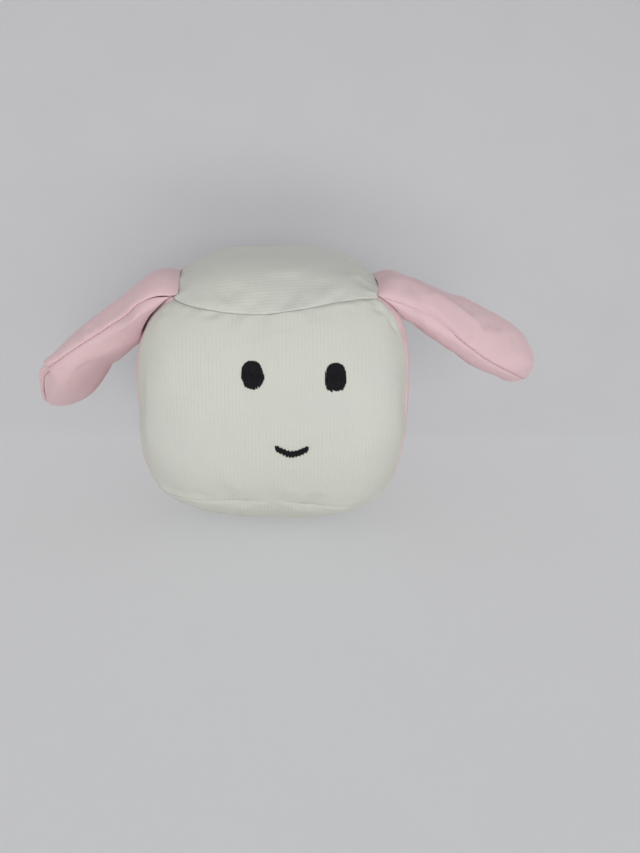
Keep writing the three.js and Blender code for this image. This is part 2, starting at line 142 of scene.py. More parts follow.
def roundness(x, y, z):
    level = np.maximum(np.abs(x), np.abs(y))
    rise = np.minimum(POLE_SPREAD * np.abs(z) / (np.abs(z) + level), 1)
    return ROUND_LEVEL + (ROUND_POLE - ROUND_LEVEL) * rise * rise


def share_of(x, y, z):
    """1 on the surface, less inside; the arguments are in shares of the half sizes."""
    power = roundness(x, y, z)
    reach = (np.abs(x) ** power + np.abs(y) ** power) ** (1 / power)
    return (reach**ROUND_UPRIGHT + np.abs(z) ** ROUND_UPRIGHT) ** (1 / ROUND_UPRIGHT)


def surface(panel, u, v, inset=0.0):
    """Points of a panel, or of the same shape an inset further in."""
    u, v = np.broadcast_arrays(np.asarray(u, float), np.asarray(v, float))
    x, y, z = direction(panel, u, v)
    size = 1 / share_of(x, y, z)
    narrow = 1 - TAPER * z * size
    height = np.where(z > 0, TOP_RISE, BOTTOM_DROP) - inset
    up = z * size * height + CENTRE_Z - inset
    up = 0.5 * (up + np.sqrt(up * up + REST_SOFT)) + inset
    across = x * size * narrow * (HALF_WIDTH - inset)
    back = y * size * narrow * (HALF_DEPTH - inset)
    return nudged(np.stack([across, back, up], -1))


def nudged(point, way=1):
    moved = point
    for at, by, reach in NUDGES:
        near = np.exp(-((point - np.array(at)) ** 2).sum(-1, keepdims=True) / (2 * reach * reach))
        moved = moved + way * near * np.array(by)
    return moved


def block_share(points):
    """How far out points lie: 1 on the block's surface."""
    p = nudged(points, -1) - CENTRE
    z = p[..., 2] / np.where(p[..., 2] > 0, TOP_RISE, BOTTOM_DROP)
    narrow = 1 - TAPER * z
    return share_of(p[..., 0] / (HALF_WIDTH * narrow), p[..., 1] / (HALF_DEPTH * narrow), z)


def share_gradient(points, step=0.02):
    """How the block's share grows at points along x, y and z, per millimetre."""
    ways = step * np.eye(3)
    grown = [block_share(points + way) - block_share(points - way) for way in ways]
    return np.stack(grown, -1) / (2 * step)


def smooth(x, low=0.0, high=1.0):
    t = np.clip((x - low) / (high - low), 0, 1)
    return t * t * (3 - 2 * t)


def unit(a):
    return a / np.maximum(np.linalg.norm(a, axis=-1, keepdims=True), 1e-9)


def grid_normals(points):
    return unit(np.cross(np.gradient(points, axis=0), np.gradient(points, axis=1)))


def edge_distances(points):
    """For each grid point, how far along the grid it is from the four edges."""
    out = []
    for axis in (0, 1):
        steps = np.diff(points, axis=axis, prepend=points.take([0], axis))
        run = np.cumsum(np.linalg.norm(steps, axis=-1), axis=axis)
        out += [run, run.take([-1], axis) - run]
    return out


def run_along(line):
    """How far along a line each of its points lies."""
    return np.cumsum(np.linalg.norm(np.diff(line, axis=0, prepend=line[:1]), axis=1))


def on_line(at, run, values):
    """Points or ways in between those of a line."""
    return np.stack([np.interp(at, run, values[:, k]) for k in range(3)], -1)


def waves(x, y, count, low, high, seed):
    """Smooth random height in -1..1 with wavelengths from low to high millimetres."""
    r = np.random.default_rng(seed)
    total = np.zeros_like(x)
    for _ in range(count):
        length = np.exp(r.uniform(math.log(low), math.log(high)))
        turn, phase = r.uniform(0, 2 * math.pi, 2)
        total += np.sin(2 * math.pi * (x * math.cos(turn) + y * math.sin(turn)) / length + phase)
    return total / math.sqrt(count)


def layered(x, y, layers, seed):
    """The sum of several kinds of waves, each with its height, count and wavelengths."""
    kinds = enumerate(layers)
    return sum(high * waves(x, y, *kind, seed + number) for number, (high, *kind) in kinds)


# Meshes
THREAD_UP = np.array([0.13, 0.21, 0.97])  # a way that no thread runs along


def set_all(thing, settings):
    for key, value in settings.items():
        setattr(thing, key, value)


def new_object(name, data):
    obj = bpy.data.objects.new(name, data)
    bpy.context.scene.collection.objects.link(obj)
    return obj


def link(name, points, faces, cloth=None):
    mesh = bpy.data.meshes.new(name)
    mesh.from_pydata((np.asarray(points).reshape(-1, 3) * MM).tolist(), [], faces)
    if cloth is not None:
        attribute = mesh.attributes.new("cloth", "FLOAT_VECTOR", "POINT")
        attribute.data.foreach_set("vector", np.asarray(cloth, np.float32).ravel())
    mesh.shade_smooth()
    return new_object(name, mesh)


def grid_faces(rows, cols, start=0, ring=False):
    faces = []
    for i in range(rows - 1):
        for j in range(cols if ring else cols - 1):
            k = (j + 1) % cols
            a, b = start + i * cols, start + (i + 1) * cols
            faces.append((a + j, b + j, b + k, a + k))
    return faces


def panel_faces(size):
    """Faces of one square grid for each panel, in one mesh."""
    starts = range(0, len(PANELS) * size**2, size**2)
    return [face for start in starts for face in grid_faces(size, size, start)]


def two_sheets(rows, cols):
    """Faces of two equal grids, one over the other, joined by a rim."""
    count = rows * cols
    ids = np.arange(count).reshape(rows, cols)
    rim = np.concatenate([ids[:-1, 0], ids[-1, :-1], ids[:0:-1, -1], ids[0, :0:-1]])
    after = np.roll(rim, -1)
    faces = grid_faces(rows, cols) + [f[::-1] for f in grid_faces(rows, cols, count)]
    return faces + np.stack([rim, after, after + count, rim + count], 1).tolist()


def outward(obj):
    mesh = bmesh.new()
    mesh.from_mesh(obj.data)
    bmesh.ops.remove_doubles(mesh, verts=mesh.verts, dist=1e-6)
    bmesh.ops.dissolve_degenerate(mesh, edges=mesh.edges, dist=1e-7)
    bmesh.ops.recalc_face_normals(mesh, faces=mesh.faces)
    mesh.to_mesh(obj.data)
    mesh.free()
    obj.data.shade_smooth()
    return obj


def apply_modifiers(obj):
    depsgraph = bpy.context.evaluated_depsgraph_get()
    mesh = bpy.data.meshes.new_from_object(obj.evaluated_get(depsgraph))
    old = obj.data
    obj.modifiers.clear()
    obj.data = mesh
    bpy.data.meshes.remove(old)
    mesh.name = obj.name


def thicken(obj, thickness):
    """Cloth thickness, inwards from a sheet whose faces look outwards."""
    solid = obj.modifiers.new("thickness", "SOLIDIFY")
    settings = dict(thickness=thickness * MM, offset=-1, use_even_offset=True, thickness_clamp=1.0)
    set_all(solid, settings)
    apply_modifiers(obj)


def tube(path, radius, sides):
    """Points, faces and along-and-round values of a round thread."""
    count = len(path)
    radius = np.broadcast_to(radius, count)
    along = unit(np.gradient(path, axis=0))
    side = unit(np.cross(along, THREAD_UP))
    lift = np.cross(side, along)
    turn = 2 * np.pi * np.arange(sides) / sides
    ring = np.cos(turn)[None, :, None] * side[:, None] + np.sin(turn)[None, :, None] * lift[:, None]
    points = (path[:, None] + radius[:, None, None] * ring).reshape(-1, 3)
    faces = grid_faces(count, sides, ring=True)
    faces += [tuple(range(sides)), tuple(range(count * sides - 1, (count - 1) * sides - 1, -1))]
    along_it = np.repeat(run_along(path), sides)
    round_it = np.tile(np.arange(sides) / sides, count)
    return points, faces, np.stack([along_it, round_it, np.zeros(count * sides)], -1)


def finish_stitches(tubes, name, slot, node, ear=None):
    """Makes one piece of many closed tubes."""
    points, lists, cloth = zip(*tubes)
    starts = np.cumsum([0, *map(len, points)]).tolist()
    faces = [tuple(i + start for i in f) for start, some in zip(starts, lists) for f in some]
    obj = link(name, np.concatenate(points), faces, np.concatenate(cloth))
    finish_piece(outward(obj), slot, node, ear)


# Materials
class Nodes:
    """A node tree, with short calls that add to it."""

    def __init__(self, tree):
        self.tree = tree

    def node(self, kind, sockets=(), **settings):
        """A new node; sockets pairs an input's name or number with what goes in."""
        made = self.tree.nodes.new(kind)
        set_all(made, settings)
        self.plug(made, dict(sockets))
        return made

    def plug(self, made, sockets):
        for name, value in sockets.items():
            if isinstance(value, bpy.types.NodeSocket):
                self.tree.links.new(value, made.inputs[name])
            else:
                made.inputs[name].default_value = value

    def math(self, operation, *values):
        return self.node("ShaderNodeMath", enumerate(values), operation=operation).outputs[0]

    def plus(self, *values):
        return functools.reduce(functools.partial(self.math, "ADD"), values)

    def times(self, a, b):
        return self.math("MULTIPLY", a, b)

    def noise(self, vector, scale, detail=2.0, rough=0.5):
        sockets = {"Vector": vector, "Scale": scale, "Detail": detail, "Roughness": rough}
        return self.node("ShaderNodeTexNoise", sockets).outputs["Fac"]

    def ramp(self, value, low, high, to_low=0.0, to_high=1.0):
        sockets = enumerate((value, low, high, to_low, to_high))
        return self.node("ShaderNodeMapRange", sockets).outputs[0]

    def wave(self, turns, shape="SINE"):
        """A wave between 0 and 1."""
        return self.ramp(self.math(shape, self.times(turns, 2 * math.pi)), -1, 1)

    def mix(self, share, a, b, blend="MIX"):
        sockets = {0: share, 6: a, 7: b}
        made = self.node("ShaderNodeMix", sockets, data_type="RGBA", blend_type=blend)
        return made.outputs[2]

    def mix_shaders(self, share, a, b):
        return self.node("ShaderNodeMixShader", enumerate((share, a, b))).outputs[0]

    def seen(self):
        """1 for what the camera sees, also in gloss or through glass."""
        path = self.node("ShaderNodeLightPath").outputs
        seen = self.math("MAXIMUM", path["Is Camera Ray"], path["Is Glossy Ray"])
        return self.math("MAXIMUM", seen, path["Is Transmission Ray"])


class Shader(Nodes):
    """A material with one Principled surface."""

    def __init__(self, name):
        self.material = bpy.data.materials.new(name)
        self.material.use_nodes = True
        super().__init__(self.material.node_tree)
        self.surface = self.tree.nodes["Principled BSDF"]

    def cloth(self):
        """The place on the flat cloth in millimetres, as a vector and as across and up."""
        vector = self.node("ShaderNodeAttribute", attribute_name="cloth").outputs["Vector"]
        across, up, _piece = self.node("ShaderNodeSeparateXYZ", {0: vector}).outputs
        return vector, across, up

    def toned(self, base, tone, blue_tone):
        """A colour times a tone, of which blue has its own."""
        tones = self.node("ShaderNodeCombineColor", enumerate((tone, tone, blue_tone)))
        return self.mix(1, shade(base, 1), tones.outputs[0], "MULTIPLY")

    def bump(self, height, strength, distance):
        sockets = {"Strength": strength, "Distance": distance * MM, "Height": height}
        return self.node("ShaderNodeBump", sockets).outputs[0]


def shade(base, factor):
    return (*[c * factor for c in base], 1.0)


def linear(r, g, b):
    return tuple(((c / 255 + 0.055) / 1.055) ** 2.4 for c in (r, g, b))


GRAIN = dict(  # how fine each unevenness of the knit is, per millimetre
    drift=0.09, lift=0.16, loops=0.55, nap=5.0, worn=0.035, mottle=0.045, speck=1.6, cream=0.022
)
DRIFT, LIFT = 0.55, 0.45  # millimetres that columns and rows of loops wander each way
LOOP_LEAN, LOOP_SHARE, NAP_SHARE = 0.32, 0.35, 0.5
KNIT_ROUGH = (0.86, 1.0)
FIBRE_SCALE, HAIR_SCALE = 0.35, 3.0


def jersey(name, base, groove_shade, wale, course, depth, sheen, rib=1.0):
    """Knitted cotton, worn soft, with a slight nap.

    groove_shade is how strong the painted shade in the columns' valleys is, wale and course
    are a loop's width and height, depth is the height of the relief and rib the columns' part of it.
    """
    s = Shader(name)
    vector, x, y = s.cloth()
    x = s.plus(x, s.ramp(s.noise(vector, GRAIN["drift"], 3), 0, 1, -DRIFT, DRIFT))
    y = s.plus(y, s.ramp(s.noise(vector, GRAIN["lift"]), 0, 1, -LIFT, LIFT))
    swing = s.wave(s.math("DIVIDE", x, wale), "COSINE")  # 1 on a column's crown
    crown = s.math("POWER", swing, 0.55)
    lean = s.times(s.math("SUBTRACT", 1, swing), LOOP_LEAN)
    loop = s.wave(s.plus(s.math("DIVIDE", y, course), lean))
    uneven = s.noise(vector, GRAIN["loops"])
    nap = s.noise(vector, GRAIN["nap"], 4, 0.65)
    height = s.plus(s.times(crown, rib), s.times(loop, LOOP_SHARE))
    height = s.times(height, s.ramp(uneven, 0.3, 0.7, 0.55, 1.15))
    height = s.plus(height, s.times(nap, NAP_SHARE))
    # painted shade darkens the valleys between the columns, unevenly, and less in the patches that the
    # worn noise marks
    valley_shade = s.ramp(crown, 0, 0.8, groove_shade, 0)
    valley_shade = s.times(valley_shade, s.ramp(uneven, 0.35, 0.65, 0.4, 1.4))
    valley_shade = s.times(valley_shade, s.ramp(s.noise(vector, GRAIN["worn"]), 0.38, 0.62, 0.25, 1.25))
    mottle = s.ramp(s.noise(vector, GRAIN["mottle"], 3), 0.3, 0.7, -0.018, 0.018)
    speck = s.ramp(s.noise(vector, GRAIN["speck"]), 0.35, 0.65, -0.015, 0.015)
    # the tone takes off the painted valley shade
    tone = s.math("SUBTRACT", s.plus(1, mottle, speck), valley_shade)
    # a little yellower in places
    cream = s.ramp(s.noise(vector, GRAIN["cream"]), 0.35, 0.65, 0.0, 0.03)
    s.plug(s.surface, {
        "Base Color": s.toned(base, tone, s.math("SUBTRACT", tone, cream)),
        "Roughness": s.ramp(nap, 0.3, 0.7, *KNIT_ROUGH),
        "Specular IOR Level": 0.25,
        "Sheen Weight": sheen,
        "Sheen Roughness": 0.55,
        "Sheen Tint": shade([math.sqrt(c) for c in base], 1),
        "Normal": s.bump(height, 0.5, depth),
    })
    return s.material


def yarn(name, base, rough, twist, sheen):
    """Sewing or embroidery thread, twisted along its length."""
    s = Shader(name)
    vector, x, y = s.cloth()
    ply = s.wave(s.plus(s.math("DIVIDE", x, twist), s.times(y, 2)))
    hair = s.ramp(s.noise(vector, HAIR_SCALE, 3), 0.3, 0.7, 0.85, 1.15)
    # painted shade and highlight: the twist is darker in the grooves between the plies and lighter on
    # their crowns, on top of the hair's random tone
    tone = s.times(s.ramp(ply, 0, 1, 0.72, 1.12), hair)
    s.plug(s.surface, {
        "Base Color": s.toned(base, tone, tone),
        "Roughness": s.ramp(hair, 0.85, 1.15, rough - 0.06, rough + 0.06),
        "Specular IOR Level": 0.2,
        "Sheen Weight": sheen,
        "Normal": s.bump(ply, 0.4, 0.08),
    })
    return s.material


def fleece(name, base):
    """Loose filling fibre or non-woven sheet, inside the toy."""
    s = Shader(name)
    vector, _across, _up = s.cloth()
    cloud = s.noise(vector, FIBRE_SCALE, 5, 0.7)
    # painted shade: the fibre is darker where its bump is low and lighter where it is high
    s.plug(s.surface, {
        "Base Color": s.mix(cloud, shade(base, 0.86), shade(base, 1.06)),
        "Roughness": s.ramp(cloud, 0.3, 0.7, 0.9, 1.0),
        "Sheen Weight": 0.3,
        "Normal": s.bump(cloud, 0.8, 0.8),
    })
    return s.material


MATERIALS = {  # one for each slot
    "white_jersey": jersey("white_jersey", linear(214, 215, 207), 0.045, 1.3, 0.98, 0.08, 0.35),
    "pink_jersey": jersey("pink_jersey", linear(228, 197, 202), 0.02, 0.95, 0.8, 0.06, 0.4, rib=0.6),
    "black_embroidery": yarn("black_thread", linear(22, 22, 26), 0.7, 0.9, 0.02),
    "white_thread": yarn("white_thread", linear(200, 201, 194), 0.7, 0.6, 0.15),
    "pink_thread": yarn("pink_thread", linear(190, 140, 150), 0.7, 0.6, 0.15),
    "fibrefill": fleece("fibrefill", linear(238, 238, 234)),
    "embroidery_backing": fleece("embroidery_backing", linear(232, 232, 230)),
}


def finish_piece(obj, slot, node, ear=None):
    """Gives a piece its material and hides the imported part; it moves with the block, or an ear's piece
    has its place baked into its mesh.
    """
    obj.data.materials.clear()
    obj.data.materials.append(MATERIALS[slot])
    if not ear:
        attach(obj, "block")
    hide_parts(node)
    if ear:
        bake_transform(obj)


# The filling's push on the sewn cloth, by simulation
FILL_CELLS = 24  # cells along each side of a panel
FILL_FRAMES = 20
FILL_SETTINGS = dict(
    vertex_group_mass="held", quality=8, bending_stiffness=0.02,
    use_pressure=True, uniform_pressure_force=4.0,
    shrink_min=-0.015,  # cloth in excess of the surface, in shares of its length
)
FILL_INSET = 1.2  # millimetres that the cloth starts inside its filled shape
FILL_LIMIT = (0.4, 0.9)  # the most that it may end outside and inside that shape
EAR_FILL_ROWS, EAR_FILL_COLS, EAR_FILL_LIMIT = 33, 15, (0.5, 0.7)


def fill(points, faces, held):
    """Blows up a thin cloth skin that is held along its seams; returns its new points."""
    obj = link("skin", points, faces)
    group = obj.vertex_groups.new(name="held")
    group.add(np.flatnonzero(held).tolist(), 1.0, "REPLACE")
    cloth = obj.modifiers.new("filling", "CLOTH")
    cloth.collision_settings.use_collision = False
    set_all(cloth.settings, FILL_SETTINGS)
    cloth.settings.effector_weights.gravity = 0
    for number in range(1, FILL_FRAMES + 1):
        bpy.context.scene.frame_set(number)
    apply_modifiers(obj)
    moved = np.empty(len(obj.data.vertices) * 3)
    obj.data.vertices.foreach_get("co", moved)
    mesh = obj.data
    bpy.data.objects.remove(obj)
    bpy.data.meshes.remove(mesh)
    bpy.context.scene.frame_set(1)
    return moved.reshape(-1, 3) / MM


def settled(distance, bulge, limit):
    """Folds and slack only: the even bulge is already in the shape."""
    distance = distance - bulge * (distance * bulge).sum() / (bulge**2).sum()
    limit = np.where(distance > 0, *limit)
    return limit * np.tanh(distance / limit)


def between(values, places):
    """Smooth values in between those of an even grid over -1..1, along its first axis."""
    last = len(values) - 1
    at = (np.clip(places, -1, 1) + 1) / 2 * last
    k = np.clip(at.astype(int), 0, last - 1)
    t = (at - k).reshape(-1, *[1] * (values.ndim - 1))
    a, b, c, d = (values[np.clip(k + step, 0, last)] for step in (-1, 0, 1, 2))
    return b + 0.5 * t * (c - a + t * (2 * a - 5 * b + 4 * c - d + t * (3 * (b - c) + d - a)))


def between_both(values, rows, cols):
    """The same along both axes of a grid."""
    return between(between(values, rows).T, cols).T


def fill_sheets(even, starts, ways, inside, faces, limit):
    """How far each of several sheets sewn together stands out along its ways when filled."""
    seam = np.ones(inside.shape, bool)
    seam[1:-1, 1:-1] = False
    moved = fill(starts, faces, np.tile(seam.ravel(), len(even))).reshape(even.shape)
    return [settled(stands, inside, limit) for stands in ((moved - even) * ways).sum(-1)]


def fill_block():
    """How far each panel's cloth stands out, on an even grid."""
    axis = np.linspace(-1, 1, FILL_CELLS + 1)
    u, v = np.meshgrid(axis, axis, indexing="ij")
    inside = FILL_INSET * (1 - u**4) * (1 - v**4)
    even = np.stack([surface(panel, u, v) for panel in PANELS])
    ways = np.stack([grid_normals(grid) for grid in even])
    starts = even - ways * inside[..., None]
    stands = fill_sheets(even, starts, ways, inside, panel_faces(len(axis)), FILL_LIMIT)
    return dict(zip(PANELS, stands))


BLOCK_FILL = fill_block()


# The six panels
EDGE_STEPS = np.array([0.0, 0.07, 0.2, 0.42, 0.75, 1.15, 1.65, 2.3, 3.1, 4.1])
INNER_CELLS = 96
PANEL_CLOTH, PANEL_APART = 0.8, 30.0  # the knit's pattern starts elsewhere on each panel
FLANGE = np.array([3.4, 1.9, 0.8])  # how deep the turned-in edge goes
ROLL = 0.6  # radius of a panel's rolled edge
SEAM_GAP = 0.1
SEAM_SINK, SEAM_SINK_REACH = 0.5, 4.0
GATHERS = ((0.1, 5, 3.6, 8.0), (0.22, 4, 11.0, 26.0))  # height, count, shortest and longest
GATHER_REACH = 5.5
CORNER_FOLD, CORNER_FOLD_REACH, CORNER_FOLD_TURNS = 0.3, 14.0, 9
SLACK = ((0.4, 6, 24.0, 56.0), (0.09, 8, 9.0, 18.0))
SLACK_SEED = 20
TOP_KNIT_SLANT = 5.0  # degrees
SHARE_SIZE = (65.0, 52.0)  # millimetres of cloth across and up for one share of the front
EYE_DIMPLE, MOUTH_DIMPLE = (0.35, 2.2), (0.25, 2.5)  # how deep, and how soon it fades
MOUTH_DIMPLE_SIZE = (6.5, 3.2)
FLOOR_CLEAR = 0.02


def panel_axis():
    outer = 1 - (EDGE_STEPS + SEAM_GAP) / (PANEL_SPAN / 2)
    inner = np.linspace(-outer[-1], outer[-1], INNER_CELLS + 1)
    return np.concatenate([-outer[:-1], inner, outer[-2::-1]])


def rolled(distance):
    """Depth of a rolled edge below the cloth around it."""
    left = ROLL - np.clip(distance, 0, ROLL)
    return ROLL - np.sqrt(np.maximum(ROLL**2 - left**2, 0))


def relief(panel, u, v, points):
    """How far the cloth sinks below the smooth block, in millimetres."""
    left, right, low, high = edge_distances(points)
    seed = 40 + 10 * PANELS.index(panel)
    depth = np.zeros_like(left)
    # the stitching gathers the cloth beside each seam
    for k, (distance, along) in enumerate(((left, v), (right, v), (low, u), (high, u))):
        gather = layered(along * PANEL_SPAN / 2, along * 0, GATHERS, seed + 2 * k)
        depth += np.exp(-distance / GATHER_REACH) * gather
    side, level = np.minimum(left, right), np.minimum(low, high)
    nearest = np.minimum(side, level)
    depth += rolled(nearest) + SEAM_SINK * np.exp(-nearest / SEAM_SINK_REACH)
    # a few soft folds run from the corners into the panel
    corner, angle = np.hypot(side, level), np.arctan2(level, side)
    fold = np.sin(angle * CORNER_FOLD_TURNS + seed) * smooth(corner, 0.5, 6)
    depth += CORNER_FOLD * np.exp(-corner / CORNER_FOLD_REACH) * fold
    depth += layered(u * PANEL_SPAN / 2, v * PANEL_SPAN / 2, SLACK, seed + SLACK_SEED)
    return depth


def dimple(r, deep, fade):
    """Cloth drawn in round embroidery, where r is 1 on its rim."""
    return deep * np.exp(-np.maximum(r - 0.9, 0) * fade)


def face_dimples(u, v):
    sink = np.zeros_like(u)
    for eye in EYES.values():
        (a, b), (wide, high) = eye["at"], eye["half"]
        sink += dimple(np.hypot((u - a) / wide, (v - b) / high), *EYE_DIMPLE)
    away_u = (u - (MOUTH_FROM[0] + MOUTH_TO[0]) / 2) * SHARE_SIZE[0]
    away_v = (v - (MOUTH_FROM[1] + MOUTH_TO[1] - MOUTH_SAG) / 2) * SHARE_SIZE[1]
    wide, high = MOUTH_DIMPLE_SIZE
    return sink + dimple(np.hypot(away_u / wide, away_v / high), *MOUTH_DIMPLE)


RELIEF = {}


def panel_sheet(panel):
    """A panel's cloth: places across and up it, its points and the ways out of it."""
    axis = panel_axis()
    u, v = np.meshgrid(axis, axis, indexing="ij")
    even = surface(panel, u, v)
    normal = grid_normals(even)
    sink = relief(panel, u, v, even)
    if panel in BLOCK_FILL:
        sink = sink - between_both(BLOCK_FILL[panel], axis, axis)
    if panel == "bottom":
        sink = np.maximum(sink, -even[..., 2] * 0.9)
    if panel == "front":
        sink = sink + face_dimples(u, v)
    RELIEF[panel] = axis, sink
    points = even - normal * sink[..., None]
    points[..., 2] = np.maximum(points[..., 2], FLOOR_CLEAR)
    # the knit runs straight on the cloth, so it is measured along the surface
    across, _right, up, _high = edge_distances(even)
    middle = len(axis) // 2
    across, up = across - across[middle : middle + 1], up - up[:, middle : middle + 1]
    if panel == "top":  # this piece was cut with the knit running across it
        slant = math.radians(TOP_KNIT_SLANT)
        turned = up * math.cos(slant) - across * math.sin(slant)
        across, up = turned, across * math.cos(slant) + up * math.sin(slant)
    return across, up, points, normal


def panel_piece(panel):
    across, up, points, normal = panel_sheet(panel)
    drop = np.concatenate([FLANGE, np.zeros(len(across)), FLANGE[::-1]])
    index = np.clip(np.arange(len(drop)) - len(FLANGE), 0, len(across) - 1)
    both_ways = np.ix_(index, index)
    depth = np.maximum(drop[:, None], drop)
    grid = points[both_ways] - normal[both_ways] * depth[..., None]
    piece = np.full(depth.shape, PANEL_APART * PANELS.index(panel))
    cloth = np.stack([across[both_ways], up[both_ways], piece], -1)
    # the flanges have no cloth at the corners
    corner = np.outer(drop, drop).ravel() > 0
    faces = np.array(grid_faces(*depth.shape))
    used, faces = np.unique(faces[~corner[faces].any(1)], return_inverse=True)
    faces = faces.reshape(-1, 4).tolist()
    obj = link(f"{panel}_cover", grid.reshape(-1, 3)[used], faces, cloth.reshape(-1, 3)[used])
    thicken(obj, PANEL_CLOTH)
    if panel in SIDES:
        finish_piece(obj, "pink_jersey", f"{panel}_side_panel")
    else:
        finish_piece(obj, "white_jersey", f"{panel}_panel")


for panel in PANELS:
    panel_piece(panel)


# Filling and backing
FILLING_INSET, FILLING_COLS = 5.2, 29
BACKING_INSET, BACKING_CLOTH, BACKING_COLS = 3.2, 0.4, 25
BACKING_ACROSS, BACKING_UP = (-0.32, 0.52), (-0.375, 0.465)


def block_filling():
    axis = np.linspace(-1, 1, FILLING_COLS)
    u, v = np.meshgrid(axis, axis, indexing="ij")
    points = [surface(panel, u, v, FILLING_INSET) for panel in PANELS]
    obj = link("block_stuffing", points, panel_faces(FILLING_COLS), points)
    finish_piece(outward(obj), "fibrefill", "block_filling")


def face_backing():
    across, up = (np.linspace(*ends, BACKING_COLS) for ends in (BACKING_ACROSS, BACKING_UP))
    points = surface("front", *np.meshgrid(across, up, indexing="ij"), BACKING_INSET)
    obj = link("embroidery_sheet", points, grid_faces(BACKING_COLS, BACKING_COLS), points)
    thicken(obj, BACKING_CLOTH)
    finish_piece(obj, "embroidery_backing", "face_backing")


block_filling()
face_backing()


# Ears
EAR_ROOT_FRONT, EAR_ROOT_BACK = -0.97, -0.1
EARS = {  # middle line from the root; roll in degrees; half thickness above and below it
    "left": dict(
        line=[
            (5.2, 0.6, -1.6), (14.1, 2.5, -10.1), (22.2, 4, -16.3), (36.5, 7, -28.5),
            (48.3, 9.7, -41.1), (56.9, 11, -45.2),
        ],
        roll=(-3.7, -6.2, -12.2, -25.9, -46),
        above=(6.3, 7.1, 8.4, 9.6),
        below=(9.6, 9.4, 9.0, 9.8),
        tip=(0.58, 6.8, 0.6),  # width as a share of the widest, skew and bulge
        lip=2.6,  # the upper cloth wraps a little round the tip
        corner=1.8,  # and round its front corner
        boxy=0.3,  # how square the upper cloth's tip is
        cheek=4.6,  # the lower cloth bulges over the block's edge at the root
        valley=0.0,  # how far the edge seam is drawn in near the root
        over=(2.2, 2.5, 0.0),  # how far it lies over the block's seam: middle, front, back
        ridge=0.0,  # a fold along the upper cloth near the root
        thread_from=0.06,  # the thread is drawn in out of sight before this
    ),
    "right": dict(
        line=[
            (7.2, 0.8, -2.9), (17.6, 2.8, -7.5), (27.2, 4.3, -12.1), (42.1, 7, -19.8),
            (54.8, 9, -27.2), (64.6, 11, -37.1),
        ],
        roll=(2.5, 5.5, 16.5, 23.3, 15.7),
        above=(8.1, 8.3, 9.7, 9.1),
        below=(6.0, 7.9, 9.6, 9.5),
        tip=(0.55, 4.4, 2.2),
        lip=0.0,
        corner=0.0,
        boxy=0.4,
        cheek=0.0,
        valley=1.5,
        over=(0.3, 0.9, 0.2),
        ridge=0.9,
        thread_from=0.42,
    ),
}
EAR_ROLL_AT = (0.1, 0.3, 0.5, 0.75, 1)
EAR_THICK_AT = (0.05, 0.35, 0.65, 1)
EAR_SWELL = 0.045
EAR_FLARE = 2.4
EAR_HALF_WIDTH = 15.4
EAR_NARROW = 0.93  # the width at the root, as a share of the widest
UPPER_CROWN, UNDER_CROWN, UNDER_SHARE = (2.3, 0.62), (3.0, 0.58), 0.95
EAR_LAID, EAR_SEAMED = 0.16, 0.14  # how far from the root an ear still follows the seam
EAR_WIDTH_FROM, EAR_THIN_FROM = 0.76, 0.7  # where the tip starts, in shares of the length
EAR_EDGE_GROOVE = 0.6
EAR_ROWS, EAR_COLS = 106, 61
EAR_FIRST_ROWS = (0.0, 0.006, 0.014, 0.024, 0.036)
EAR_LAST_ROWS = (0.036, 0.028, 0.021, 0.015, 0.0105, 0.007, 0.0042, 0.002, 0.0)  # from the tip
EAR_CLOTH = 0.7
# height, reach from the edge, spread across it, count, shortest and longest of the gathers
# along the edge seam and of the slack folds over the length
EAR_FOLDS = (
    (0.22, 3.2, 0.0, 6, 3.2, 7.0),
    (0.35, 6.0, 0.3, 5, 9.0, 20.0),
    (0.28, np.inf, 1.0, 6, 18.0, 45.0),
)
EAR_BEND_TOWARD = 0.17  # a place along the ear, as a share: the way from the root towards it is worked out but not used
EAR_LIFT = {1: 0.45, -1: 0.2}  # how far the upper and the under cloth stay off the block
EAR_STITCH_PITCH, EAR_STITCH_LENGTH, EAR_STITCH_RADIUS = 2.3, 1.9, 0.14
FILLING_FROM, FILLING_TO = 0.18, 0.97  # it starts past the cloth that bends at the root
FILLING_ROWS, FILLING_ACROSS = 40, 25
FILLING_THINNER, FILLING_LEAST, FILLING_NARROWER = 1.5, 0.35, 2.2
FILLING_LIFT = {1: 1.7, -1: 1.35}


def catmull(points, shares):
    """Places at shares of the length of a smooth centripetal line, their ways and the length."""
    p = np.asarray(points, float)
    p = np.vstack([2 * p[0] - p[1], p, 2 * p[-1] - p[-2]])
    dense = []
    for k in range(1, len(p) - 2):
        row = p[k - 1 : k + 3]
        knots = np.cumsum([0, *np.sqrt(np.linalg.norm(np.diff(row, axis=0), axis=1))])
        t = np.linspace(knots[1], knots[2], 60, endpoint=k == len(p) - 3)[:, None]
        # mix neighbours three times: first over one step of knots, then over two, then the middle
        for first, wide in ((0, 1), (0, 2), (1, 1)):
            ends = zip(knots[first:], knots[first + wide :])
            row = [((b - t) * p0 + (t - a) * p1) / (b - a) for (a, b), p0, p1 in zip(ends, row, row[1:])]
        dense.append(row[0])
    dense = np.vstack(dense)
    run = run_along(dense)
    at = shares * run[-1]
    return on_line(at, run, dense), unit(on_line(at, run, np.gradient(dense, run, axis=0))), run[-1]


